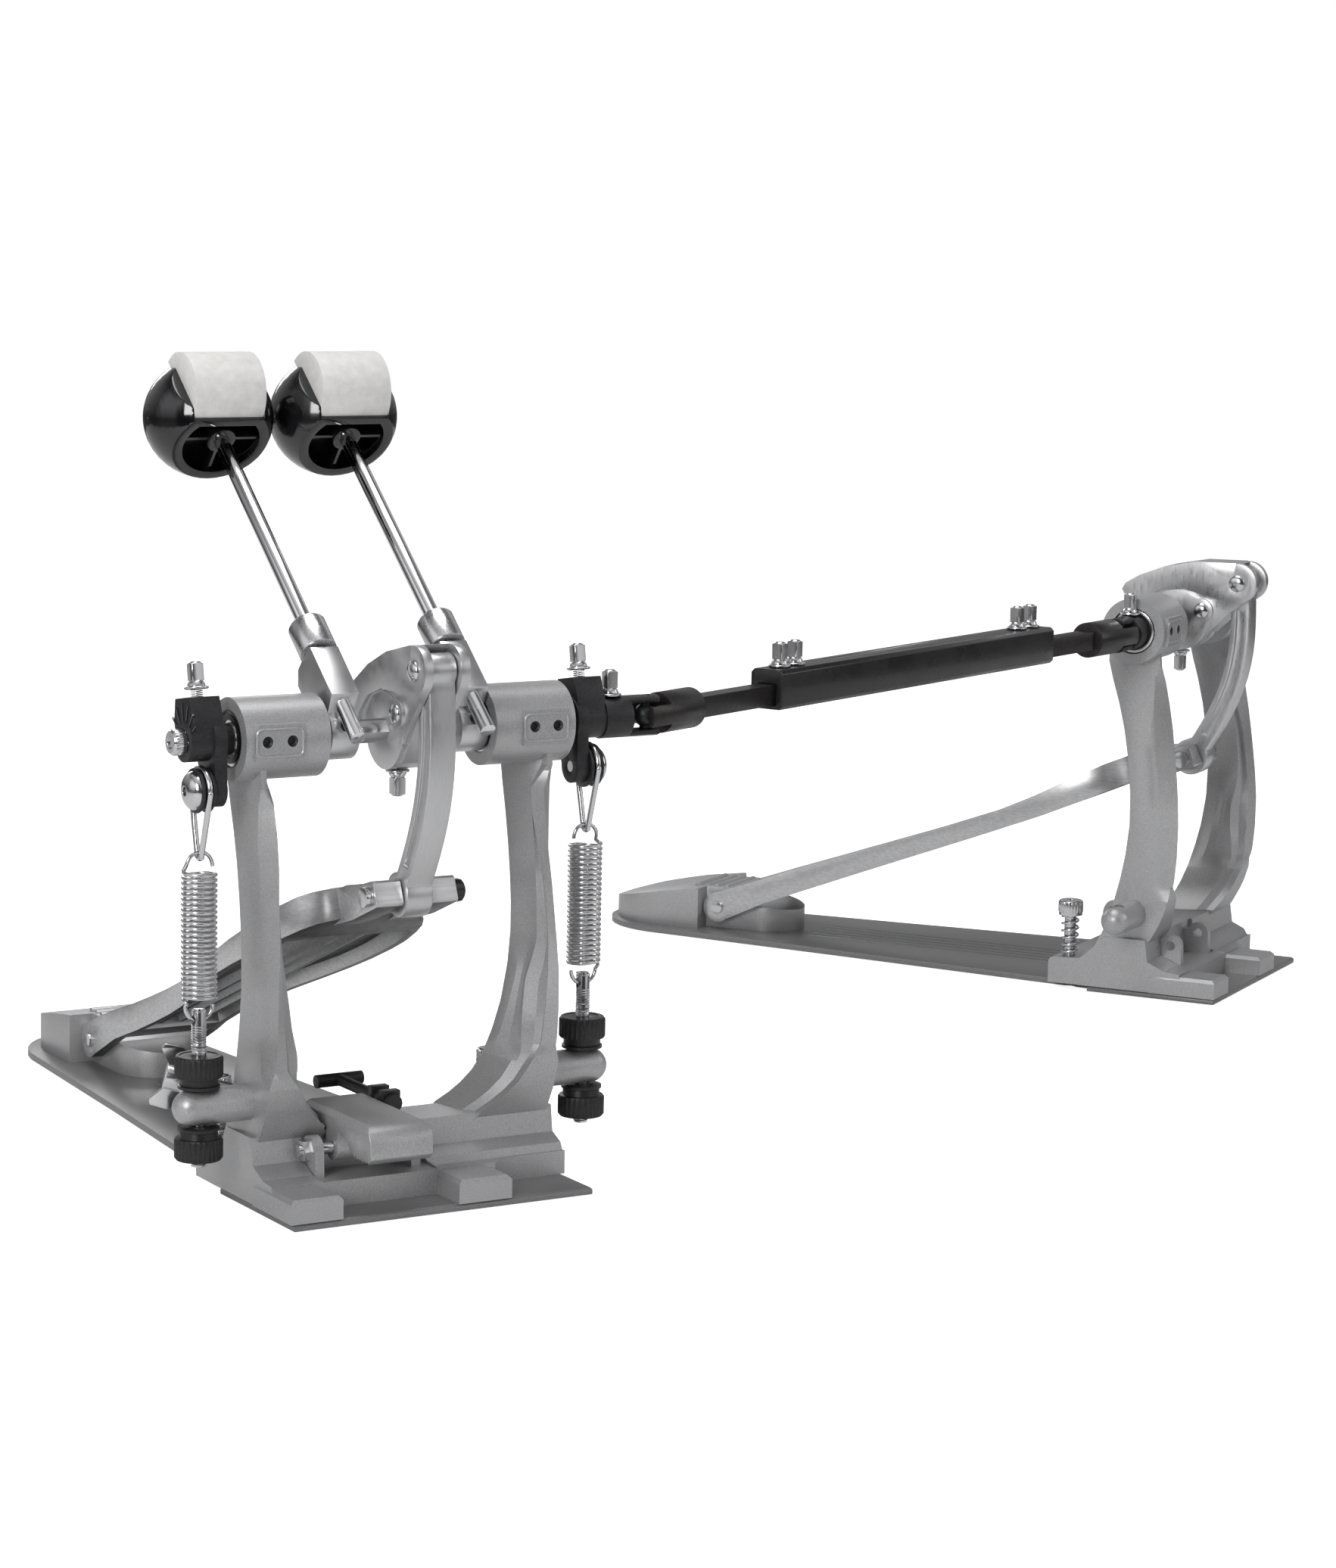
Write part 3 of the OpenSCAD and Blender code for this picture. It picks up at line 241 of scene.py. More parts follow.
def board_alloy(name):
    """Brushed sides and tread; faces turned downward get a duller, rougher as-cast finish and a much darker
    colour, which is painted shade under the board.
    """
    mat, tree, shader, coords = new_material(name, {"Metallic": 0.85})
    lines = noise(tree, coords, 900, 4.0, 0.65, (0.05, 0.35, 1.0))
    skin = noise(tree, coords, 160, 4.0)
    side = new_node(tree, "SeparateXYZ")
    tree.links.new(new_node(tree, "TexCoord").outputs["Normal"], side.inputs["Vector"])
    # mask of the faces turned downward: it makes them rougher (as cast) and darker (painted shade)
    underside_cast_and_shade = spread(tree, side.outputs["Z"], 1.0, 0.0, (-0.75, -0.35))
    bright = ramp(tree, lines, [(0.3, grey(0.5)), (0.7, grey(0.68))])
    # dark colour of the downward faces: painted shade, over the grain of the cast skin
    dull = ramp(tree, skin, [(0.3, grey(0.13)), (0.7, grey(0.2))])
    mix = blend(tree, bright, dull)
    tree.links.new(underside_cast_and_shade, mix.inputs["Fac"])
    tree.links.new(mix.outputs["Color"], shader.inputs["Base Color"])
    tree.links.new(spread(tree, underside_cast_and_shade, 0.32, 0.5, (0.0, 1.0)), shader.inputs["Roughness"])
    bump(tree, shader, lines, 0.25, 0.0001)
    return mat


MATS = {
    "cast": cast_paint("cast_paint", 0.46),
    "plate": cast_paint("plate_paint", 0.25, 0.5, 0.38),
    "alloy": brushed("satin_alloy", 0.6, (1.0, 0.1, 0.1), 0.34, 0.9, 0.06),
    "board": board_alloy("board_alloy"),
    "chrome": polished("chrome", 0.78, 0.05),
    "hub": polished("satin_chrome", 0.66, 0.33),
    "collar": brushed("collar_steel", 0.62, (1.0, 1.0, 0.05), 0.24),
    "zinc": polished("zinc_plate", 0.68, 0.15),
    "black_steel": dark("black_cast", (0.022, 0.022, 0.024), 0.42, 900, 0.00018, 0.2),
    "knob_black": dark("black_knob", (0.018, 0.018, 0.019), 0.36, 800, 0.0001, 0.2),
    "tube_black": dark("satin_black", (0.012, 0.012, 0.013), 0.27, 600, 0.00005, 0.1, 0.2),
    "bar_dark": dark("brown_bar", (0.03, 0.027, 0.026), 0.33, 500, 0.00005, 0.5),
    "black_plastic": dark("black_plastic", (0.016, 0.016, 0.017), 0.4, 700, 0.0001),
    "gloss_plastic": dark("gloss_plastic", (0.006, 0.006, 0.007), 0.14, 90, 0.00002, 0.0, 0.6),
    "felt": felt_cloth("white_felt"),
}
ZINC, BLACK = MATS["zinc"], MATS["black_steel"]
OWN_FINISH = {"footboard": "board", "joint_cross": "black_steel", "beater_hub": "hub",
              "beater_collar": "collar"}


def finish_of(node, slot):
    """The material of a CAD node: its own where its name has one, otherwise that of its slot."""
    for ending, mat in OWN_FINISH.items():
        if node.endswith(ending):
            return MATS[mat]
    return MATS.get(slot, ZINC)


def dress(obj, mat):
    obj.data.materials.clear()
    obj.data.materials.append(mat)


# Making pieces: a part is a list of points and a list of faces
def piece(name, parts, where, mat, body, angle=35, bevel=0.0):
    """One object from several parts, placed by the matrix where, that rides on the body."""
    mesh = bpy.data.meshes.new(name)
    points, faces = [], []
    for more, shape in parts:
        base = len(points)
        points += [where @ Vector(p) * MM for p in more]
        faces += [[base + i for i in face] for face in shape]
    mesh.from_pydata(points, [], faces)
    draft = bmesh.new()
    draft.from_mesh(mesh)
    bmesh.ops.recalc_face_normals(draft, faces=draft.faces)
    draft.to_mesh(mesh)
    draft.free()
    obj = bpy.data.objects.new(name, mesh)
    bpy.context.scene.collection.objects.link(obj)
    dress(obj, mat)
    round_off(obj, bevel, angle)
    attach(obj, body)
    return obj


def round_off(obj, bevel, angle):
    """Round the edges, and shade smooth those flatter than the angle."""
    if bevel:
        edge = obj.modifiers.new("edge", "BEVEL")
        edge.width = bevel * MM
        edge.segments = 2
        edge.limit_method = "ANGLE"
        edge.angle_limit = math.radians(ROUND_FROM)
    bpy.ops.object.select_all(action="DESELECT")
    bpy.context.view_layer.objects.active = obj
    obj.select_set(True)
    with bpy.context.temp_override(object=obj, active_object=obj, selected_objects=[obj],
                                   selected_editable_objects=[obj]):
        bpy.ops.object.shade_smooth_by_angle(angle=math.radians(angle))


def skin_of(loops, size, closed=False):
    """Faces between loops of the same size, whose points follow each other in the list."""
    faces = []
    for i in range(loops if closed else loops - 1):
        here, there = i * size, (i + 1) % loops * size
        for k in range(size):
            after = (k + 1) % size
            faces.append((here + k, here + after, there + after, there + k))
    return faces


def first_cap(size):
    return tuple(range(size - 1, -1, -1))


def last_cap(loops, size):
    return tuple(range((loops - 1) * size, loops * size))


def turned(profile, steps=40, edge=None):
    """Solid of revolution about Z from (radius, height) pairs; edge gives the radius at each step round."""
    points = []
    for r, z in profile:
        for k in range(steps):
            points.append((*polar(edge(k, r) if edge else r, 360 * k / steps), z))
    faces = skin_of(len(profile), steps)
    if profile[0][0] > 0.01:
        faces.append(first_cap(steps))
    if profile[-1][0] > 0.01:
        faces.append(last_cap(len(profile), steps))
    return points, faces


def ring(profile, steps=40):
    """Ring about Z whose closed section is given by (radius, height) pairs."""
    points = [(*polar(r, 360 * k / steps), z) for k in range(steps) for r, z in profile]
    return points, skin_of(steps, len(profile), True)


def knurled(r, z0, z1, grooves=30, depth=0.5, rim=0.6):
    """Cylinder with grooves along it and narrowed rims."""
    def edge(k, radius):
        return radius - depth if k % 2 and radius > r - rim * 0.8 else radius

    return turned([(r - rim, z0), (r, z0 + rim), (r, z1 - rim), (r - rim, z1)], 2 * grooves, edge)


def slab(outline, z0, z1):
    """Upright solid over the outline, from z0 to z1."""
    size = len(outline)
    points = [(x, y, z) for z in (z0, z1) for x, y in outline]
    return points, [first_cap(size), last_cap(2, size)] + skin_of(2, size)


def block(a, b):
    return slab([(a[0], a[1]), (b[0], a[1]), (b[0], b[1]), (a[0], b[1])], a[2], b[2])


def moved(part, matrix):
    points, faces = part
    return [tuple(matrix @ Vector(p)) for p in points], faces


def many(parts, matrix):
    return [moved(part, matrix) for part in parts]


def tube(path, r, sides=10, closed=False):
    """Round wire of radius r along the path."""
    path = [Vector(p) for p in path]
    count = len(path)
    points = []
    side = None
    for i in range(count):
        before = path[i - 1] if i or closed else path[i]
        after = path[(i + 1) % count] if i < count - 1 or closed else path[i]
        along = (after - before).normalized()
        if side is None:
            side = along.cross(Vector((0.31, 0.22, 0.93))).normalized()
        side = (side - along * side.dot(along)).normalized()
        other = along.cross(side)
        for k in range(sides):
            c, s = polar(r, 360 * k / sides)
            points.append(tuple(path[i] + c * side + s * other))
    faces = skin_of(count, sides, closed)
    if not closed:
        faces += [first_cap(sides), last_cap(count, sides)]
    return points, faces


def curve(points, per, closed=False):
    """Smooth path through the given points, in per steps from each to the next."""
    knots = [Vector(p) for p in points]
    count = len(knots)
    path = []
    for i in range(count if closed else count - 1):
        a, b = knots[i], knots[(i + 1) % count]
        before = knots[i - 1] if i or closed else a
        after = knots[(i + 2) % count] if closed or i < count - 2 else b
        for k in range(per):
            t = k / per
            path.append(0.5 * ((2 * a) + (b - before) * t + (2 * before - 5 * a + 4 * b - after) * t * t
                               + (3 * a - before - 3 * b + after) * t ** 3))
    return path if closed else path + [knots[-1]]


def winding(r, z0, z1, turns, per=20):
    """Helix about Z, in per steps to the turn."""
    steps = int(turns * per)
    return [(*polar(r, 360 * i / per), z0 + (z1 - z0) * i / steps) for i in range(steps + 1)]


def thread(r, z0, z1, pitch=1.25, height=0.34):
    """Ridges of a screw thread standing on a shank of radius r."""
    return tube(winding(r, z0, z1, (z1 - z0) / pitch), height, 4)


def circle(r, step=15):
    return [(*polar(r, t), 0) for t in range(0, 360, step)]


def rounded(w, h, r, steps=6):
    """Outline of half width w and half height h with corners of radius r."""
    outline = []
    for x, y, start in ((w - r, h - r, 0), (r - w, h - r, 90), (r - w, r - h, 180), (w - r, r - h, 270)):
        for k in range(steps + 1):
            c, s = polar(r, start + 90 * k / steps)
            outline.append((x + c, y + s))
    return outline


def key_screw(shank):
    """Square headed screw with a flange on z = 0 and threads below it."""
    head = slab(rounded(3.18, 3.18, 0.5, 2), 4.2, 12.6)
    shoulder = turned([(0, 1.2), (4.3, 1.2), (4.5, 2.0), (4.1, 3.2), (3.2, 4.3), (2.6, 4.8), (0, 4.8)])
    flange = turned([(0, 0), (5.6, 0), (6.1, 0.5), (6.0, 1.2), (4.4, 1.7), (0, 1.7)])
    tip = turned([(3.2, 12.2), (3.15, 12.9), (2.4, 13.5), (0, 13.7)], 24)
    return [head, shoulder, flange, tip, thread(2.9, -shank, -0.1, 1.0, 0.3)]


def dome(r, h, socket=0.0):
    """Rounded screw head of radius r and height h, with a socket if one is given."""
    cap = [(r, 0)] + [(polar(r, t)[0], polar(h, t)[1]) for t in range(10, 81, 10)]
    if socket:
        cap = [q for q in cap if q[0] > socket + 0.4]
        return [turned(cap + [(socket, h * 0.94), (socket, h * 0.3), (0, h * 0.3)])]
    return [turned(cap + [(0, h)])]


# Finish and rounded edges of the CAD pieces
BEVELS = {"frame": 1.0, "footboard": 0.6, "heel_block": 0.9, "jaw": 1.8, "base_plate": 0.3,
          "floor_plate": 0.3, "cam": 0.6, "link": 0.6}
slots = {part["node"]: part["material_slot"] for part in frame["record"]["subparts"]}
for name, obj in frame["nodes"].items():
    dress(obj, finish_of(name, slots[name]))
    weld = obj.modifiers.new("weld", "WELD")
    weld.merge_threshold = 0.01 * MM
    kind = name.split("_", 1)[1]
    round_off(obj, BEVELS.get(kind, 0.3), 16 if kind == "jaw" else 24)

# Springs, stirrups and tension bolts
HOOK_R, HOOK_Z = 7.2, 102.7
COIL_R, COIL_TURNS = 7.9, 24
COIL_LOW, COIL_HIGH = 105.5, 168.4
LOOP_Z = 177.8              # middle of the stirrup's lower bend, which holds the spring's upper loop
BOLT_THREADS = ((79.2, 93.3), (99.2, 101), (23.3, 27))  # stretches of the bolt with a thread
KNOB_R, KNOB_NEAR, KNOB_FAR = 11.95, 15.3, 25.3  # a knob's ends are taken from the boss's middle


def spring_path():
    hook = []
    for t in range(180, 361, 15):
        x, z = polar(HOOK_R, t)
        hook.append((x, 0, HOOK_Z + z))
    coils = winding(COIL_R, COIL_LOW, COIL_HIGH, COIL_TURNS)
    top = [(7.43, 2.2, 169.2), (6.9, 0.8, 171.4), (6.3, 0, 173.8), (4.6, 0, 176.5), (2.2, 0, LOOP_Z),
           (0, 0, 178), (-2.2, 0, LOOP_Z), (-4.6, 0, 176.5), (-6.3, 0, 173.8), (-6.9, 0, 171)]
    return curve(hook + [(7.43, -2.2, 104.7)] + coils + top, 2)


def stirrup_path():
    """Closed wire over the pulley and down to the spring."""
    down, back = polar(PULLEY_DROP, ROCKER_LEAN)
    path = []
    for y, z, r, angles in ((-back, AXLE_H - down, 10.8, range(-15, 196, 15)),
                            (BOLT_Y, LOOP_Z, 2.6, range(180, 361, 30))):
        for t in angles:
            across, high = polar(r, t)
            path.append((BOLT_X, y + across, z + high))
    return curve(path, 4, True)


for side, hand in (("left", FLIP), ("right", MAIN)):
    bolt = hand @ at(BOLT_X, BOLT_Y, 0)
    spring = piece(side + "_spring_shown", [tube(spring_path(), 1.0, 12)], bolt, ZINC, side + "_coil", 80)
    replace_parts(spring, side + "_spring")
    wire = tube(stirrup_path(), 1.5, 12, True)
    stirrup = piece(side + "_stirrup_shown", [wire], hand, ZINC, side + "_hanger", 80)
    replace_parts(stirrup, side + "_stirrup")
    threads = [thread(3.45, low, high) for low, high in BOLT_THREADS]
    piece(side + "_bolt_thread", threads, bolt, ZINC, side + "_bolt")
    knob = [knurled(KNOB_R, KNOB_NEAR, KNOB_FAR, 32, 0.75),
            ring([(10.4, 9.8), (10.4, 11.2), (9.4, 11.6), (9.4, 9.6)]),
            ring([(11.0, 25.2), (11.0, 25.9), (9.6, 25.9), (9.0, 25.4)])]
    for tag, way in (("upper", MAIN), ("lower", DOWN)):
        spot = bolt @ at(0, 0, BOSS_Z) @ way
        piece(f"{side}_{tag}_knurl", knob, spot, MATS["knob_black"], side + "_knobs")


# Screws of the axles and the shaft
def rocker_set(hand):
    """Key screw on top of a rocker, and the pulley's screw and pin below it."""
    lean = hand @ leaning(0, ROCKER_LEAN)
    pin = turned([(0, 0), (3, 0), (3, 12), (0, 12)], 24)
    out = many(key_screw(4.2), lean @ at(106, 0, ROCKER_SEAT))
    out += many(dome(9.6, 5.4, 2.2), lean @ at(111, 0, -PULLEY_DROP) @ TO_X)
    return out + many([pin], lean @ at(97.2, 0, -PULLEY_DROP) @ TO_X)


def hub_set(x):
    """Key screw that clamps a beater's rod in its hub."""
    return many(key_screw(1.0), leaning(x, ROD_LEAN) @ at(0, 1, 25) @ TO_Y)


def cam_set(place, arm):
    """Two rivet heads on the cam, the link's pin and the key screw; arm is the angle of the cam's arm."""
    pin = turned([(0, 0), (4, 0), (4, 25), (5.8, 25), (5.8, 27), (5.2, 27.6), (0, 27.6)])
    out = []
    c, s = polar(1, arm)
    for along, across, r in ((LINK_REACH, 0, 5.4), (17, 3, 5.0)):
        spot = place @ at(CAM_LEFT, along * c - across * s, AXLE_H + along * s + across * c) @ TO_X
        out += many(dome(r, 2.5), spot @ DOWN)
        if along == LINK_REACH:
            out += many([pin], spot)
    return out + many(key_screw(0.6), place @ at(1, 0, AXLE_H - CAM_SEAT) @ DOWN)


def end_screw(place, x):
    """Key screw of the joint's fork on the end of an axle."""
    return many(key_screw(0.5), place @ at(x, 0, AXLE_H + END_SEAT))


def shaft_set():
    """Key screws along the top of the shaft's tube."""
    out = []
    for along in SHAFT_SCREWS:
        out += many(key_screw(0.6), SHAFT @ at(along, 0, TUBE_SEAT))
    return out


round_nut = [knurled(6.6, 0, 6, 28, 0.5),
             ring([(6.0, 6), (5.4, 6.9), (3.1, 6.9), (3.1, 3.0), (6.0, 3.0)], 32)]
main_set = rocker_set(FLIP) + hub_set(HUB_LEFT) + cam_set(MAIN, 134.8)
main_set += many(round_nut, at(-ROCKER_OUT, 0, AXLE_H) @ TO_X @ DOWN)
drive_set = rocker_set(MAIN) + hub_set(HUB_RIGHT) + end_screw(MAIN, 122)
second_set = cam_set(SECOND, 146.8) + end_screw(SECOND, -97.8)
for node, body, screws in (("primary_axle_screws", "main_axle", main_set),
                           ("drive_axle_screws", "driven_axle", drive_set),
                           ("secondary_axle_screws", "second_axle", second_set),
                           ("shaft_tube_screws", "drive_shaft", shaft_set())):
    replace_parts(piece(node + "_shown", screws, MAIN, ZINC, body, 32, 0.25), node)

# Rays on the left rocker's end plate, and the black sleeves beside the barrels
RAY_LOW, RAY_HIGH, RAY_TURN = 8.5, 18.5, 22  # ends of the middle ray, and the angle between two rays
SLEEVE_IN, SLEEVE_OUT = 91.2, 96.9
rays = []
for k in range(-3, 4):
    high = RAY_HIGH - 0.5 * abs(k) ** 1.5
    ray = block((0.5 - ROCKER_OUT, -0.45, RAY_LOW), (1.2 - ROCKER_OUT, 0.45, high))
    rays.append(moved(ray, spin(RAY_TURN * k, "X")))
piece("rocker_rays", rays, leaning(0, ROCKER_LEAN), MATS["gloss_plastic"], "main_axle")
for side, hand, body in (("left", FLIP, "main_axle"), ("right", MAIN, "driven_axle")):
    sleeve = ring([(7.9, SLEEVE_IN), (7.9, SLEEVE_OUT), (7.4, SLEEVE_OUT), (7.4, SLEEVE_IN)])
    piece(side + "_axle_sleeve", [sleeve], hand @ at(0, 0, AXLE_H) @ TO_X, BLACK, body)


# Details of the castings
def seals(place, body, tag):
    """Two thin rings on the open face of each bearing."""
    parts = []
    for hand in (MAIN, FLIP):
        for x, way in ((BEARING_OUT, 1), (BEARING_IN, -1)):
            rings = [ring([(inner, height * way), (inner, 0), (outer, 0), (outer, height * way)])
                     for inner, outer, height in ((9.4, 12.0, 0.12), (13.6, 14.3, 0.15))]
            parts += many(rings, place @ hand @ at(x, 0, AXLE_H) @ TO_X)
    piece(tag + "_bearing_seals", parts, MAIN, MATS["tube_black"], body)


def barrel_pads(place, body, tag):
    """Raised rim of the pad on each barrel, with two sunk screws in it."""
    rims, plugs = [], []
    plug = [turned([(0, -2.2), (2.9, -2.2), (2.9, -2.6), (0, -2.6)], 24),
            ring([(2.9, -0.4), (2.9, -2.4), (1.8, -1.6), (1.9, -1.2)], 24)]
    outline = [(x, y, 0) for x, y in rounded(12.2, 6.6, 2.4)]
    for hand in (MAIN, FLIP):
        pad = place @ hand @ at(PAD_X, PAD_Y, AXLE_H) @ TO_Y @ DOWN
        rims.append(moved(tube(outline, 0.75, 8, True), pad))
        for x in (-6.6, 6.6):
            spot = pad @ at(x, 0.5, 0)
            plugs += many(plug, spot)
            rims.append(moved(tube(circle(3.1), 0.28, 6, True), spot))
    piece(tag + "_pad_rims", rims, MAIN, MATS["cast"], body)
    piece(tag + "_pad_plugs", plugs, MAIN, BLACK, body)


for tag, place, body, _ in PEDALS:
    seals(place, body, tag)
    barrel_pads(place, body, tag)

# Spurs: knurled heads and threads, and the springs around them
SPUR_LOW, SPUR_HIGH = 21, 46.8      # ends of the thread
HEAD_LOW, HEAD_HIGH = 48.6, 55.8    # ends of the knurled head
for tag, place, x, r, spur_body, frame_body, joint in (
        ("main_left", MAIN, -SPUR_X, 5.5, "main_left_spur", "main_pedal", "left_spur_slide"),
        ("main_right", MAIN, SPUR_X, 5.5, "main_right_spur", "main_pedal", "right_spur_slide"),
        ("second_left", SECOND, -SPUR_X, 7.5, "second_spurs", "second_pedal", "second_spurs_slide"),
        ("second_right", SECOND, SPUR_X, 7.5, "second_spurs", "second_pedal", "second_spurs_slide")):
    spot = place @ at(x, SPUR_Y, 0)
    head = knurled(r + 0.4, HEAD_LOW, HEAD_HIGH, 26, 0.6)
    low, high = HEAD_HIGH - 0.2, HEAD_HIGH + 0.8
    recess = ring([(r - 0.4, low), (r - 1, high), (2.6, high), (2.6, low)], 32)
    shank = thread(3.55, SPUR_LOW, SPUR_HIGH, 1.25, 0.3)
    piece(tag + "_spur_detail", [head, shank, recess], spot, ZINC, spur_body)
    wire = tube(winding(5.1, SPUR_LOW + 0.2, SPUR_HIGH - 0.2, 5.5), 0.75, 8)
    coil = piece(tag + "_spur_spring", [wire], spot, ZINC, frame_body, 80)
    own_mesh(coil)

# Sunk screws in the hubs
PLUG_TURN = 118
for tag, x, body in (("left", HUB_LEFT, "main_axle"), ("right", HUB_RIGHT, "driven_axle")):
    plug = turned([(0, 10.0), (2.55, 10.0), (2.55, 10.5), (1.2, 10.5), (1.2, 10.2), (0, 10.2)], 24)
    piece(tag + "_hub_plug", [plug], leaning(x, ROD_LEAN) @ spin(PLUG_TURN, "X"), BLACK, body)

# Sculpted posts of the castings
POST_LOW, POST_TOP, POST_STEPS = 62, 212, 50
POST_W = 83.5               # outer face of the posts, from the middle of the pedal
POST_IN = 67.2              # inner side of the posts where they are narrow
NEAR = 0.12                 # a point this close to the CAD outline counts as lying on it
ACROSS = (0.854, -0.52)     # direction across the photo, seen from above
OUTWARD = (-0.8, -0.6)      # direction out of the web's front
# height, front, back, inner side
POST_ROWS = [
    (62, -26, 8.2, 55.4), (75, -28.8, 5, 59.2), (90, -29.9, 2.2, 62.3), (109, -30, 0.2, 64.8),
    (126, -28.8, 0.4, 66.4), (140, -27.2, 1.5, 67), (154, -25.3, 3.2, 67.2), (170, -23, 6, 67.4),
    (186, -20, 10, 67.8), (200, -17.2, 14.4, 68.3), (212, -15.2, 17.6, 68.7)]
# height, inner edge of the front band and its depth, outer edge, depth of the outer facet,
# and the two ends of the web's facet across the photo
BAND_ROWS = [
    (62, 69.5, 2, 77.6, 8, 47, 64.4), (75, 71, 3, 78, 10, 53, 64.2), (90, 72.5, 3.5, 78, 11, 57, 64.6),
    (109, 73.8, 3.8, 77.8, 11.5, 61.3, 66), (126, 74.2, 3.7, 76.8, 12, 64, 68.6),
    (140, 74, 4, 76.1, 12, 61, 66), (154, 73.5, 4.2, 75.6, 12, 60, 65.5), (170, 72.4, 6, 74.6, 11, 60, 65),
    (186, 71.5, 7, 74.2, 8, 60, 64.6), (200, 71.4, 7, 74.8, 5, 60, 64), (212, 71.5, 6.5, 76, 3, 60, 63)]


def between(rows, z):
    """The values of the rows at height z, without the height."""
    for a, b in zip(rows, rows[1:]):
        if z <= b[0]:
            t = (z - a[0]) / (b[0] - a[0])
            return [p + (q - p) * t for p, q in zip(a[1:], b[1:])]
    return list(rows[-1][1:])


def mixed(p, q, t):
    return p[0] + (q[0] - p[0]) * t, p[1] + (q[1] - p[1]) * t


def cad_corners(z):
    """Corners of the CAD post's section at height z."""
    front, back, inner = between(POST_ROWS, z)
    w, shift = POST_W, inner - POST_IN
    return [(inner, back), (w, back), (w, back - 8), (w - 2, (back + front) / 2), (w - 2.3, front + 5),
            (w - 2.8, front), (w - 7.4 + shift, front), (w - 7.8 + shift, front + 5),
            (inner + 4.3, front + 0.32 * (back - front))]


def post_section(z):
    """The post's outline at height z: plain at the ends, with band, facets and web between them."""
    front, back, _ = between(POST_ROWS, z)
    band_in, band_deep, band_out, facet_deep, web_from, web_to = between(BAND_ROWS, z)
    p = cad_corners(z)
    plain = [p[1], p[2], p[3], mixed(p[3], p[4], 0.6), p[4], mixed(p[4], p[5], 0.7), p[5],
             mixed(p[5], p[6], 0.5), mixed(p[5], p[6], 0.9), p[6], mixed(p[6], p[7], 0.5), p[7],
             mixed(p[7], p[8], 0.6), p[8], mixed(p[8], p[0], 0.3), mixed(p[8], p[0], 0.55),
             mixed(p[8], p[0], 0.8), p[0]]
    deep = min(facet_deep, (back - front) / 2 - 2.6)
    facet = (POST_W - 2.7, front + deep)
    outer, inner = (band_out, front - 0.1), (band_in, front + band_deep)

    def across(q):
        return ACROSS[0] * q[0] + ACROSS[1] * q[1]

    def on_web(u):
        """Point of the web's front that lies at u across the photo."""
        a, c = (p[0], p[8]) if u <= across(p[8]) else (p[8], inner)
        return mixed(a, c, clamp((u - across(a)) / (across(c) - across(a))))

    def push(q, distance):
        return q[0] + OUTWARD[0] * distance, q[1] + OUTWARD[1] * distance

    def pit(t, depth):
        """Point between ridge and edge, sunk into the web."""
        return push(mixed(ridge, edge, t), -depth * (0.4 + 0.6 * foot))

    foot = clamp((125 - z) / 22)  # 1 on the flared foot, 0 above it
    ridge = mixed(p[8], push(on_web(web_to), 1.9), foot)
    edge = mixed(mixed(p[8], p[0], 0.7), push(on_web(web_from), 1.5), foot)
    groove = (band_in + 0.9, front + band_deep + 3.2)
    hollow = push(mixed(inner, ridge, 0.45), -1.6)
    full = [p[1], p[2], p[3], (POST_W - 2.2, front + deep + 2.2), facet, mixed(facet, outer, 0.12),
            mixed(facet, outer, 0.88), outer, mixed(outer, inner, 0.85), inner,
            (band_in - 0.1, front + band_deep + 0.8), mixed(groove, hollow, foot), ridge,
            pit(0.3, 1.3 + 0.7 * foot), pit(0.6, 1.3 + 0.9 * foot), edge,
            push(mixed(edge, p[0], 0.6), 0.7 * foot), p[0]]
    carved = clamp(min((z - POST_LOW) / 9, (POST_TOP - z) / 12))
    return [mixed(a, c, carved) for a, c in zip(plain, full)]


def off_outline(x, y, corners):
    """Distance of a point from the closed outline through the corners."""
    gaps = []
    for a, c in zip(corners, corners[1:] + corners[:1]):
        dx, dy = c[0] - a[0], c[1] - a[1]
        t = clamp(((x - a[0]) * dx + (y - a[1]) * dy) / max(dx * dx + dy * dy, 1e-9))
        gaps.append(math.hypot(x - a[0] - t * dx, y - a[1] - t * dy))
    return min(gaps)


def on_post(v):
    x, y, z = abs(v.co.x), v.co.y, v.co.z
    return POST_LOW - 0.1 < z < POST_TOP + 0.1 and off_outline(x, y, cad_corners(z)) < NEAR


def sculpted_frame(node, place, body):
    """The CAD casting with the sides of its two posts taken off and carved ones in their place."""
    source = frame["nodes"][node]
    draft = bmesh.new()
    draft.from_mesh(source.data)
    to_mm = place.inverted() @ Matrix.Scale(1 / MM, 4) @ source.matrix_world
    bmesh.ops.transform(draft, matrix=to_mm, verts=draft.verts)
    bmesh.ops.remove_doubles(draft, verts=draft.verts, dist=0.004)
    post_points = {v for v in draft.verts if on_post(v)}
    sides = [face for face in draft.faces if all(v in post_points for v in face.verts)
             and len({round(v.co.z) for v in face.verts}) > 1]
    bmesh.ops.delete(draft, geom=sides, context="FACES")
    draft.verts.ensure_lookup_table()
    index = {v: k for k, v in enumerate(draft.verts)}
    faces = [tuple(index[v] for v in face.verts) for face in draft.faces]
    parts = [([tuple(v.co) for v in draft.verts], faces)]
    draft.free()
    heights = [POST_LOW + (POST_TOP - POST_LOW) * k / POST_STEPS for k in range(POST_STEPS + 1)]
    for sign in (1, -1):
        loops = [[(sign * x, y, z) for x, y in post_section(z)] for z in heights]
        parts.append(([p for loop in loops for p in loop], skin_of(len(loops), len(loops[0]))))
    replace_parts(piece(node + "_shown", parts, place, MATS["cast"], body, 19), node)


for tag, place, body, _ in PEDALS:
    sculpted_frame(tag + "_frame", place, body)

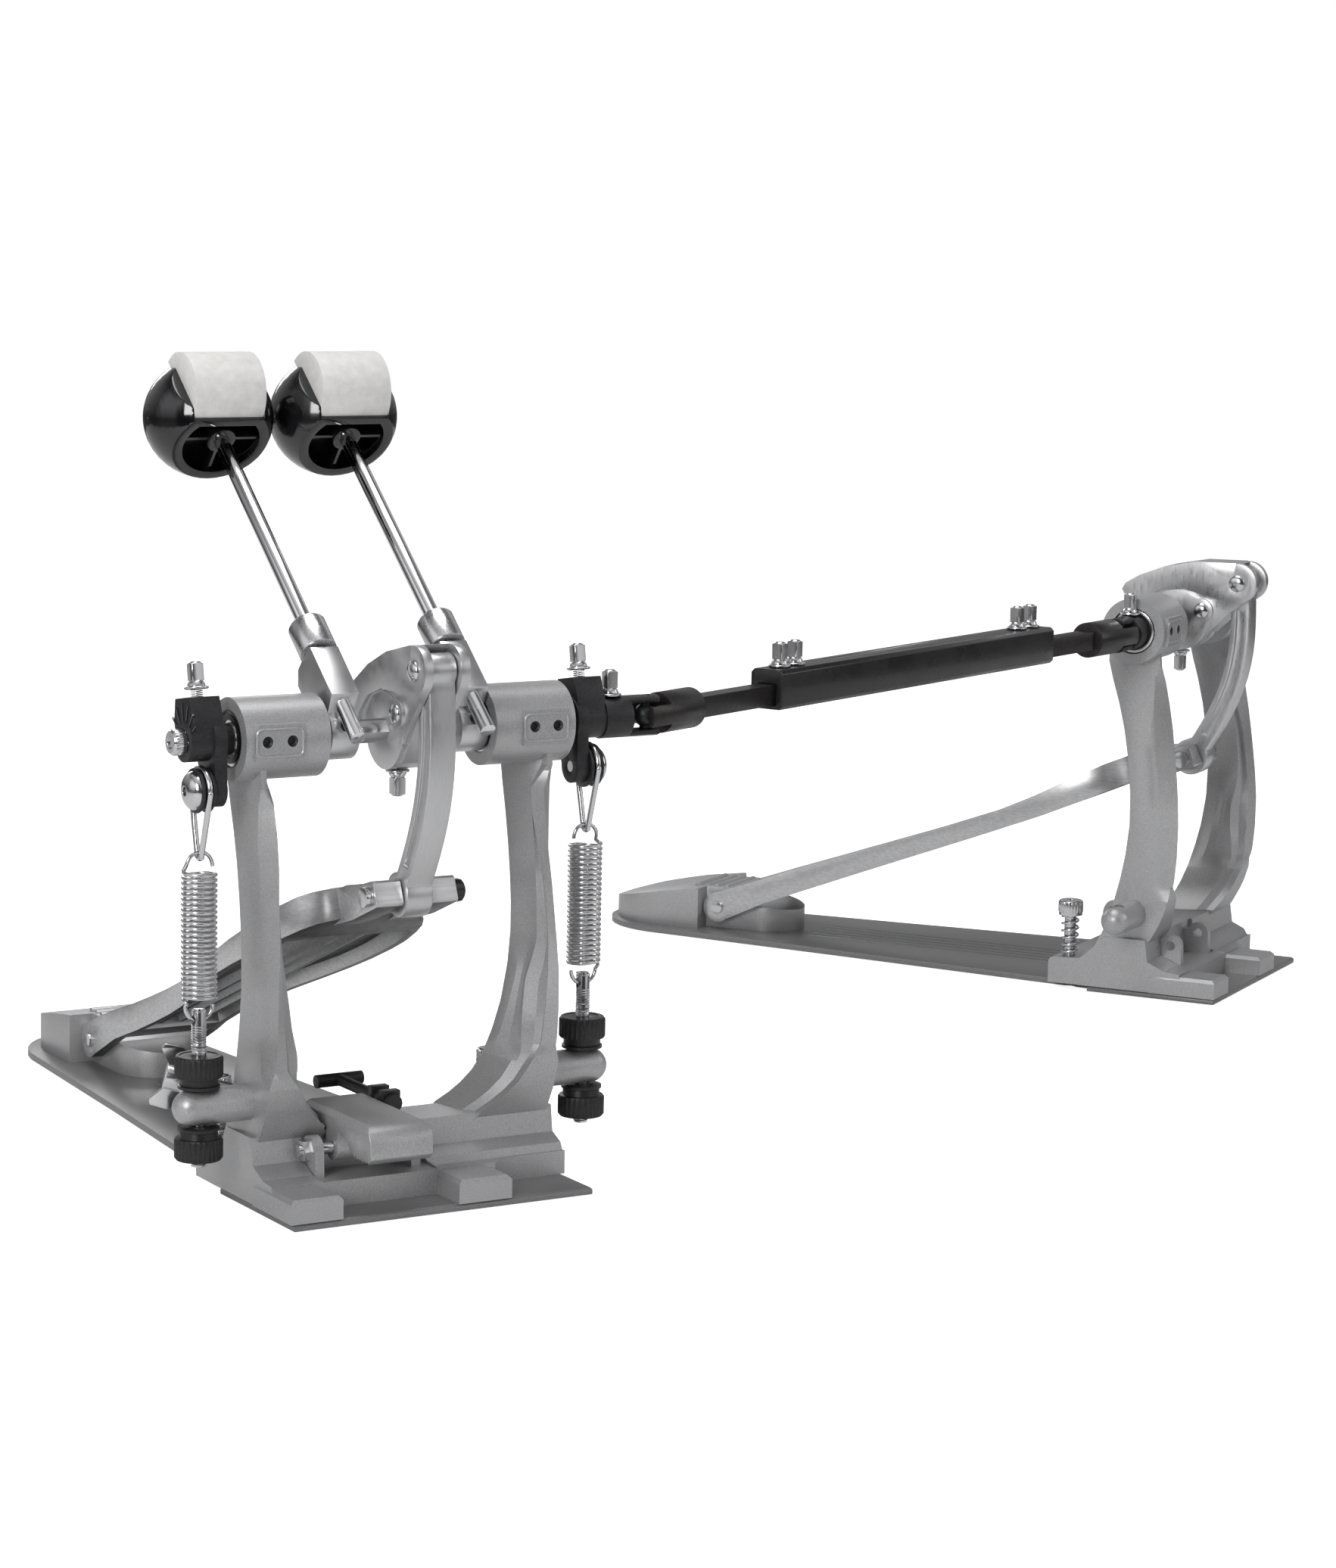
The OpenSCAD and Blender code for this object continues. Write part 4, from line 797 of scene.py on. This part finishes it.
# Black nuts at the toes of the footboards
for tag, place, _, body in PEDALS:
    pins = frame["nodes"][tag + "_footboard_pins"]
    to_mm = place.inverted() @ Matrix.Scale(1 / MM, 4) @ pins.matrix_world
    toe = [p for p in (to_mm @ v.co for v in pins.data.vertices) if p.z > 100]
    reach = max(p.x for p in toe)
    tip = [p for p in toe if p.x > reach - 0.01]
    y, z = (sum(p[axis] for p in tip) / len(tip) for axis in (1, 2))
    nut = [knurled(6.0, 0, 6.4, 11, 0.5, 0.9), ring([(4.6, 6.2), (3.8, 7.2), (2.4, 7.2), (2.4, 5.6)], 32)]
    nut = many(nut, place @ at(reach - 5.4, y, z) @ TO_X)
    piece(tag + "_toe_nut", nut, MAIN, MATS["tube_black"], body)

# Camera: the photo's size, focal length and middle in pixels, then the place in millimetres
PHOTO_W, PHOTO_H = 1765, 2072
FOCAL_LENGTH = 5361
MIDDLE_X, MIDDLE_Y = 880.9, 1030.4
CAMERA_AT = (-918.4, -1769.0, 502.5)
YAW, PITCH, ROLL = math.radians(31.3), math.radians(8.38), math.radians(1.16)
SENSOR = 36.0

forward = Vector((math.sin(YAW) * math.cos(PITCH), math.cos(YAW) * math.cos(PITCH), -math.sin(PITCH)))
level = Vector((math.cos(YAW), -math.sin(YAW), 0))
upward = level.cross(forward)
right = level * math.cos(ROLL) + upward * math.sin(ROLL)
up = upward * math.cos(ROLL) - level * math.sin(ROLL)
cam_data = bpy.data.cameras.new("photo_camera")
cam = bpy.data.objects.new("photo_camera", cam_data)
bpy.context.scene.collection.objects.link(cam)
turn = Matrix((right, up, -forward)).transposed().to_4x4()
cam.matrix_world = Matrix.Translation(Vector(CAMERA_AT) * MM) @ turn
cam_data.sensor_fit = "VERTICAL"
cam_data.sensor_height = SENSOR
cam_data.lens = FOCAL_LENGTH / PHOTO_H * SENSOR
cam_data.shift_x = (PHOTO_W / 2 - MIDDLE_X) / PHOTO_H
cam_data.shift_y = (MIDDLE_Y - PHOTO_H / 2) / PHOTO_H
cam_data.clip_end = 50
bpy.context.scene.camera = cam

# Lamps: name, place and size in metres, power in watts
LAMPS = (("key", (-1.9, -1.4, 1.25), (0.8, 1.1), 31),
         ("side", (2.2, -0.7, 1.0), (0.4, 1.2), 4),
         ("top", (0.2, 0.3, 2.3), (1.5, 1.1), 21),
         ("back", (0.6, 2.4, 1.0), (1.2, 0.6), 6))
AIM = Vector((0.3, 0.15, 0.15))
for name, place, size, power in LAMPS:
    light = bpy.data.lights.new(name, "AREA")
    light.shape = "RECTANGLE"
    light.size, light.size_y = size
    light.energy = power
    lamp = bpy.data.objects.new(name, light)
    bpy.context.scene.collection.objects.link(lamp)
    lamp.location = place
    lamp.rotation_euler = (AIM - Vector(place)).to_track_quat("-Z", "Y").to_euler()


def world_light():
    """Soft sky for the light, a striped room for mirror finishes, and white behind the object."""
    world = bpy.data.worlds.new("studio")
    bpy.context.scene.world = world
    world.use_nodes = True
    tree = world.node_tree
    tree.nodes.clear()
    link = tree.links.new
    out = new_node(tree, "OutputWorld")
    path = new_node(tree, "LightPath")
    soft_sky = new_node(tree, "Background", {"Color": (0.97, 0.98, 1.0, 1), "Strength": 0.22})
    white = new_node(tree, "Background", {"Color": (1, 1, 1, 1), "Strength": 1.0})
    mirrored = new_node(tree, "Background", {"Strength": 1.0})
    coords = new_node(tree, "TexCoord").outputs["Generated"]
    split = new_node(tree, "SeparateXYZ")
    link(coords, split.inputs["Vector"])
    height = ramp(tree, spread(tree, split.outputs["Z"], 0, 1, (-0.3, 1.0)), [
        (0.0, grey(0.25)), (0.2, grey(0.12)), (0.3, grey(0.55)), (0.48, grey(1.0)),
        (0.62, grey(1.0)), (0.75, grey(0.3)), (1.0, grey(0.9))])
    toward = new_node(tree, "VectorMath", {1: (-0.52, -0.854, 0.0)}, operation="DOT_PRODUCT")
    link(coords, toward.inputs[0])
    round_room = ramp(tree, spread(tree, toward.outputs["Value"], 0, 1, (-1.0, 1.0)), [
        (0.0, grey(0.5)), (0.45, grey(0.28)), (0.6, grey(0.95)), (0.82, grey(1.0)),
        (0.89, grey(0.1)), (1.0, grey(0.05))])
    link(blend(tree, height, round_room, "MULTIPLY").outputs["Color"], mirrored.inputs["Color"])
    gloss = new_node(tree, "MixShader")
    link(path.outputs["Is Glossy Ray"], gloss.inputs["Fac"])
    link(soft_sky.outputs[0], gloss.inputs[1])
    link(mirrored.outputs[0], gloss.inputs[2])
    view = new_node(tree, "MixShader")
    link(path.outputs["Is Camera Ray"], view.inputs["Fac"])
    link(gloss.outputs[0], view.inputs[1])
    link(white.outputs[0], view.inputs[2])
    link(view.outputs[0], out.inputs["Surface"])


def pale_floor():
    """Floor that keeps the shadow and glows towards the camera, so that it meets the white behind it."""
    bpy.ops.mesh.primitive_plane_add(size=3.6, location=(0.4, 0.6, -0.0004))
    floor = bpy.context.object
    floor.name = "floor"
    mat, tree, shader, coords = new_material("pale_floor", {"Roughness": 0.8})
    link = tree.links.new
    tone = ramp(tree, noise(tree, coords, 3.0, 2.0), [(0.3, (0.9, 0.9, 0.9)), (0.7, (0.92, 0.92, 0.92))])
    link(tone, shader.inputs["Base Color"])
    glow = new_node(tree, "Emission", {"Color": (1, 1, 1, 1)})
    path = new_node(tree, "LightPath")
    dim = new_node(tree, "Math", {1: 0.8}, operation="MULTIPLY")
    link(path.outputs["Is Camera Ray"], dim.inputs[0])
    link(dim.outputs[0], glow.inputs["Strength"])
    both = new_node(tree, "AddShader")
    link(shader.outputs[0], both.inputs[0])
    link(glow.outputs[0], both.inputs[1])
    out = next(node for node in tree.nodes if node.type == "OUTPUT_MATERIAL")
    link(both.outputs[0], out.inputs["Surface"])
    dress(floor, mat)


world_light()
pale_floor()
bpy.context.scene.view_settings.view_transform = "Standard"
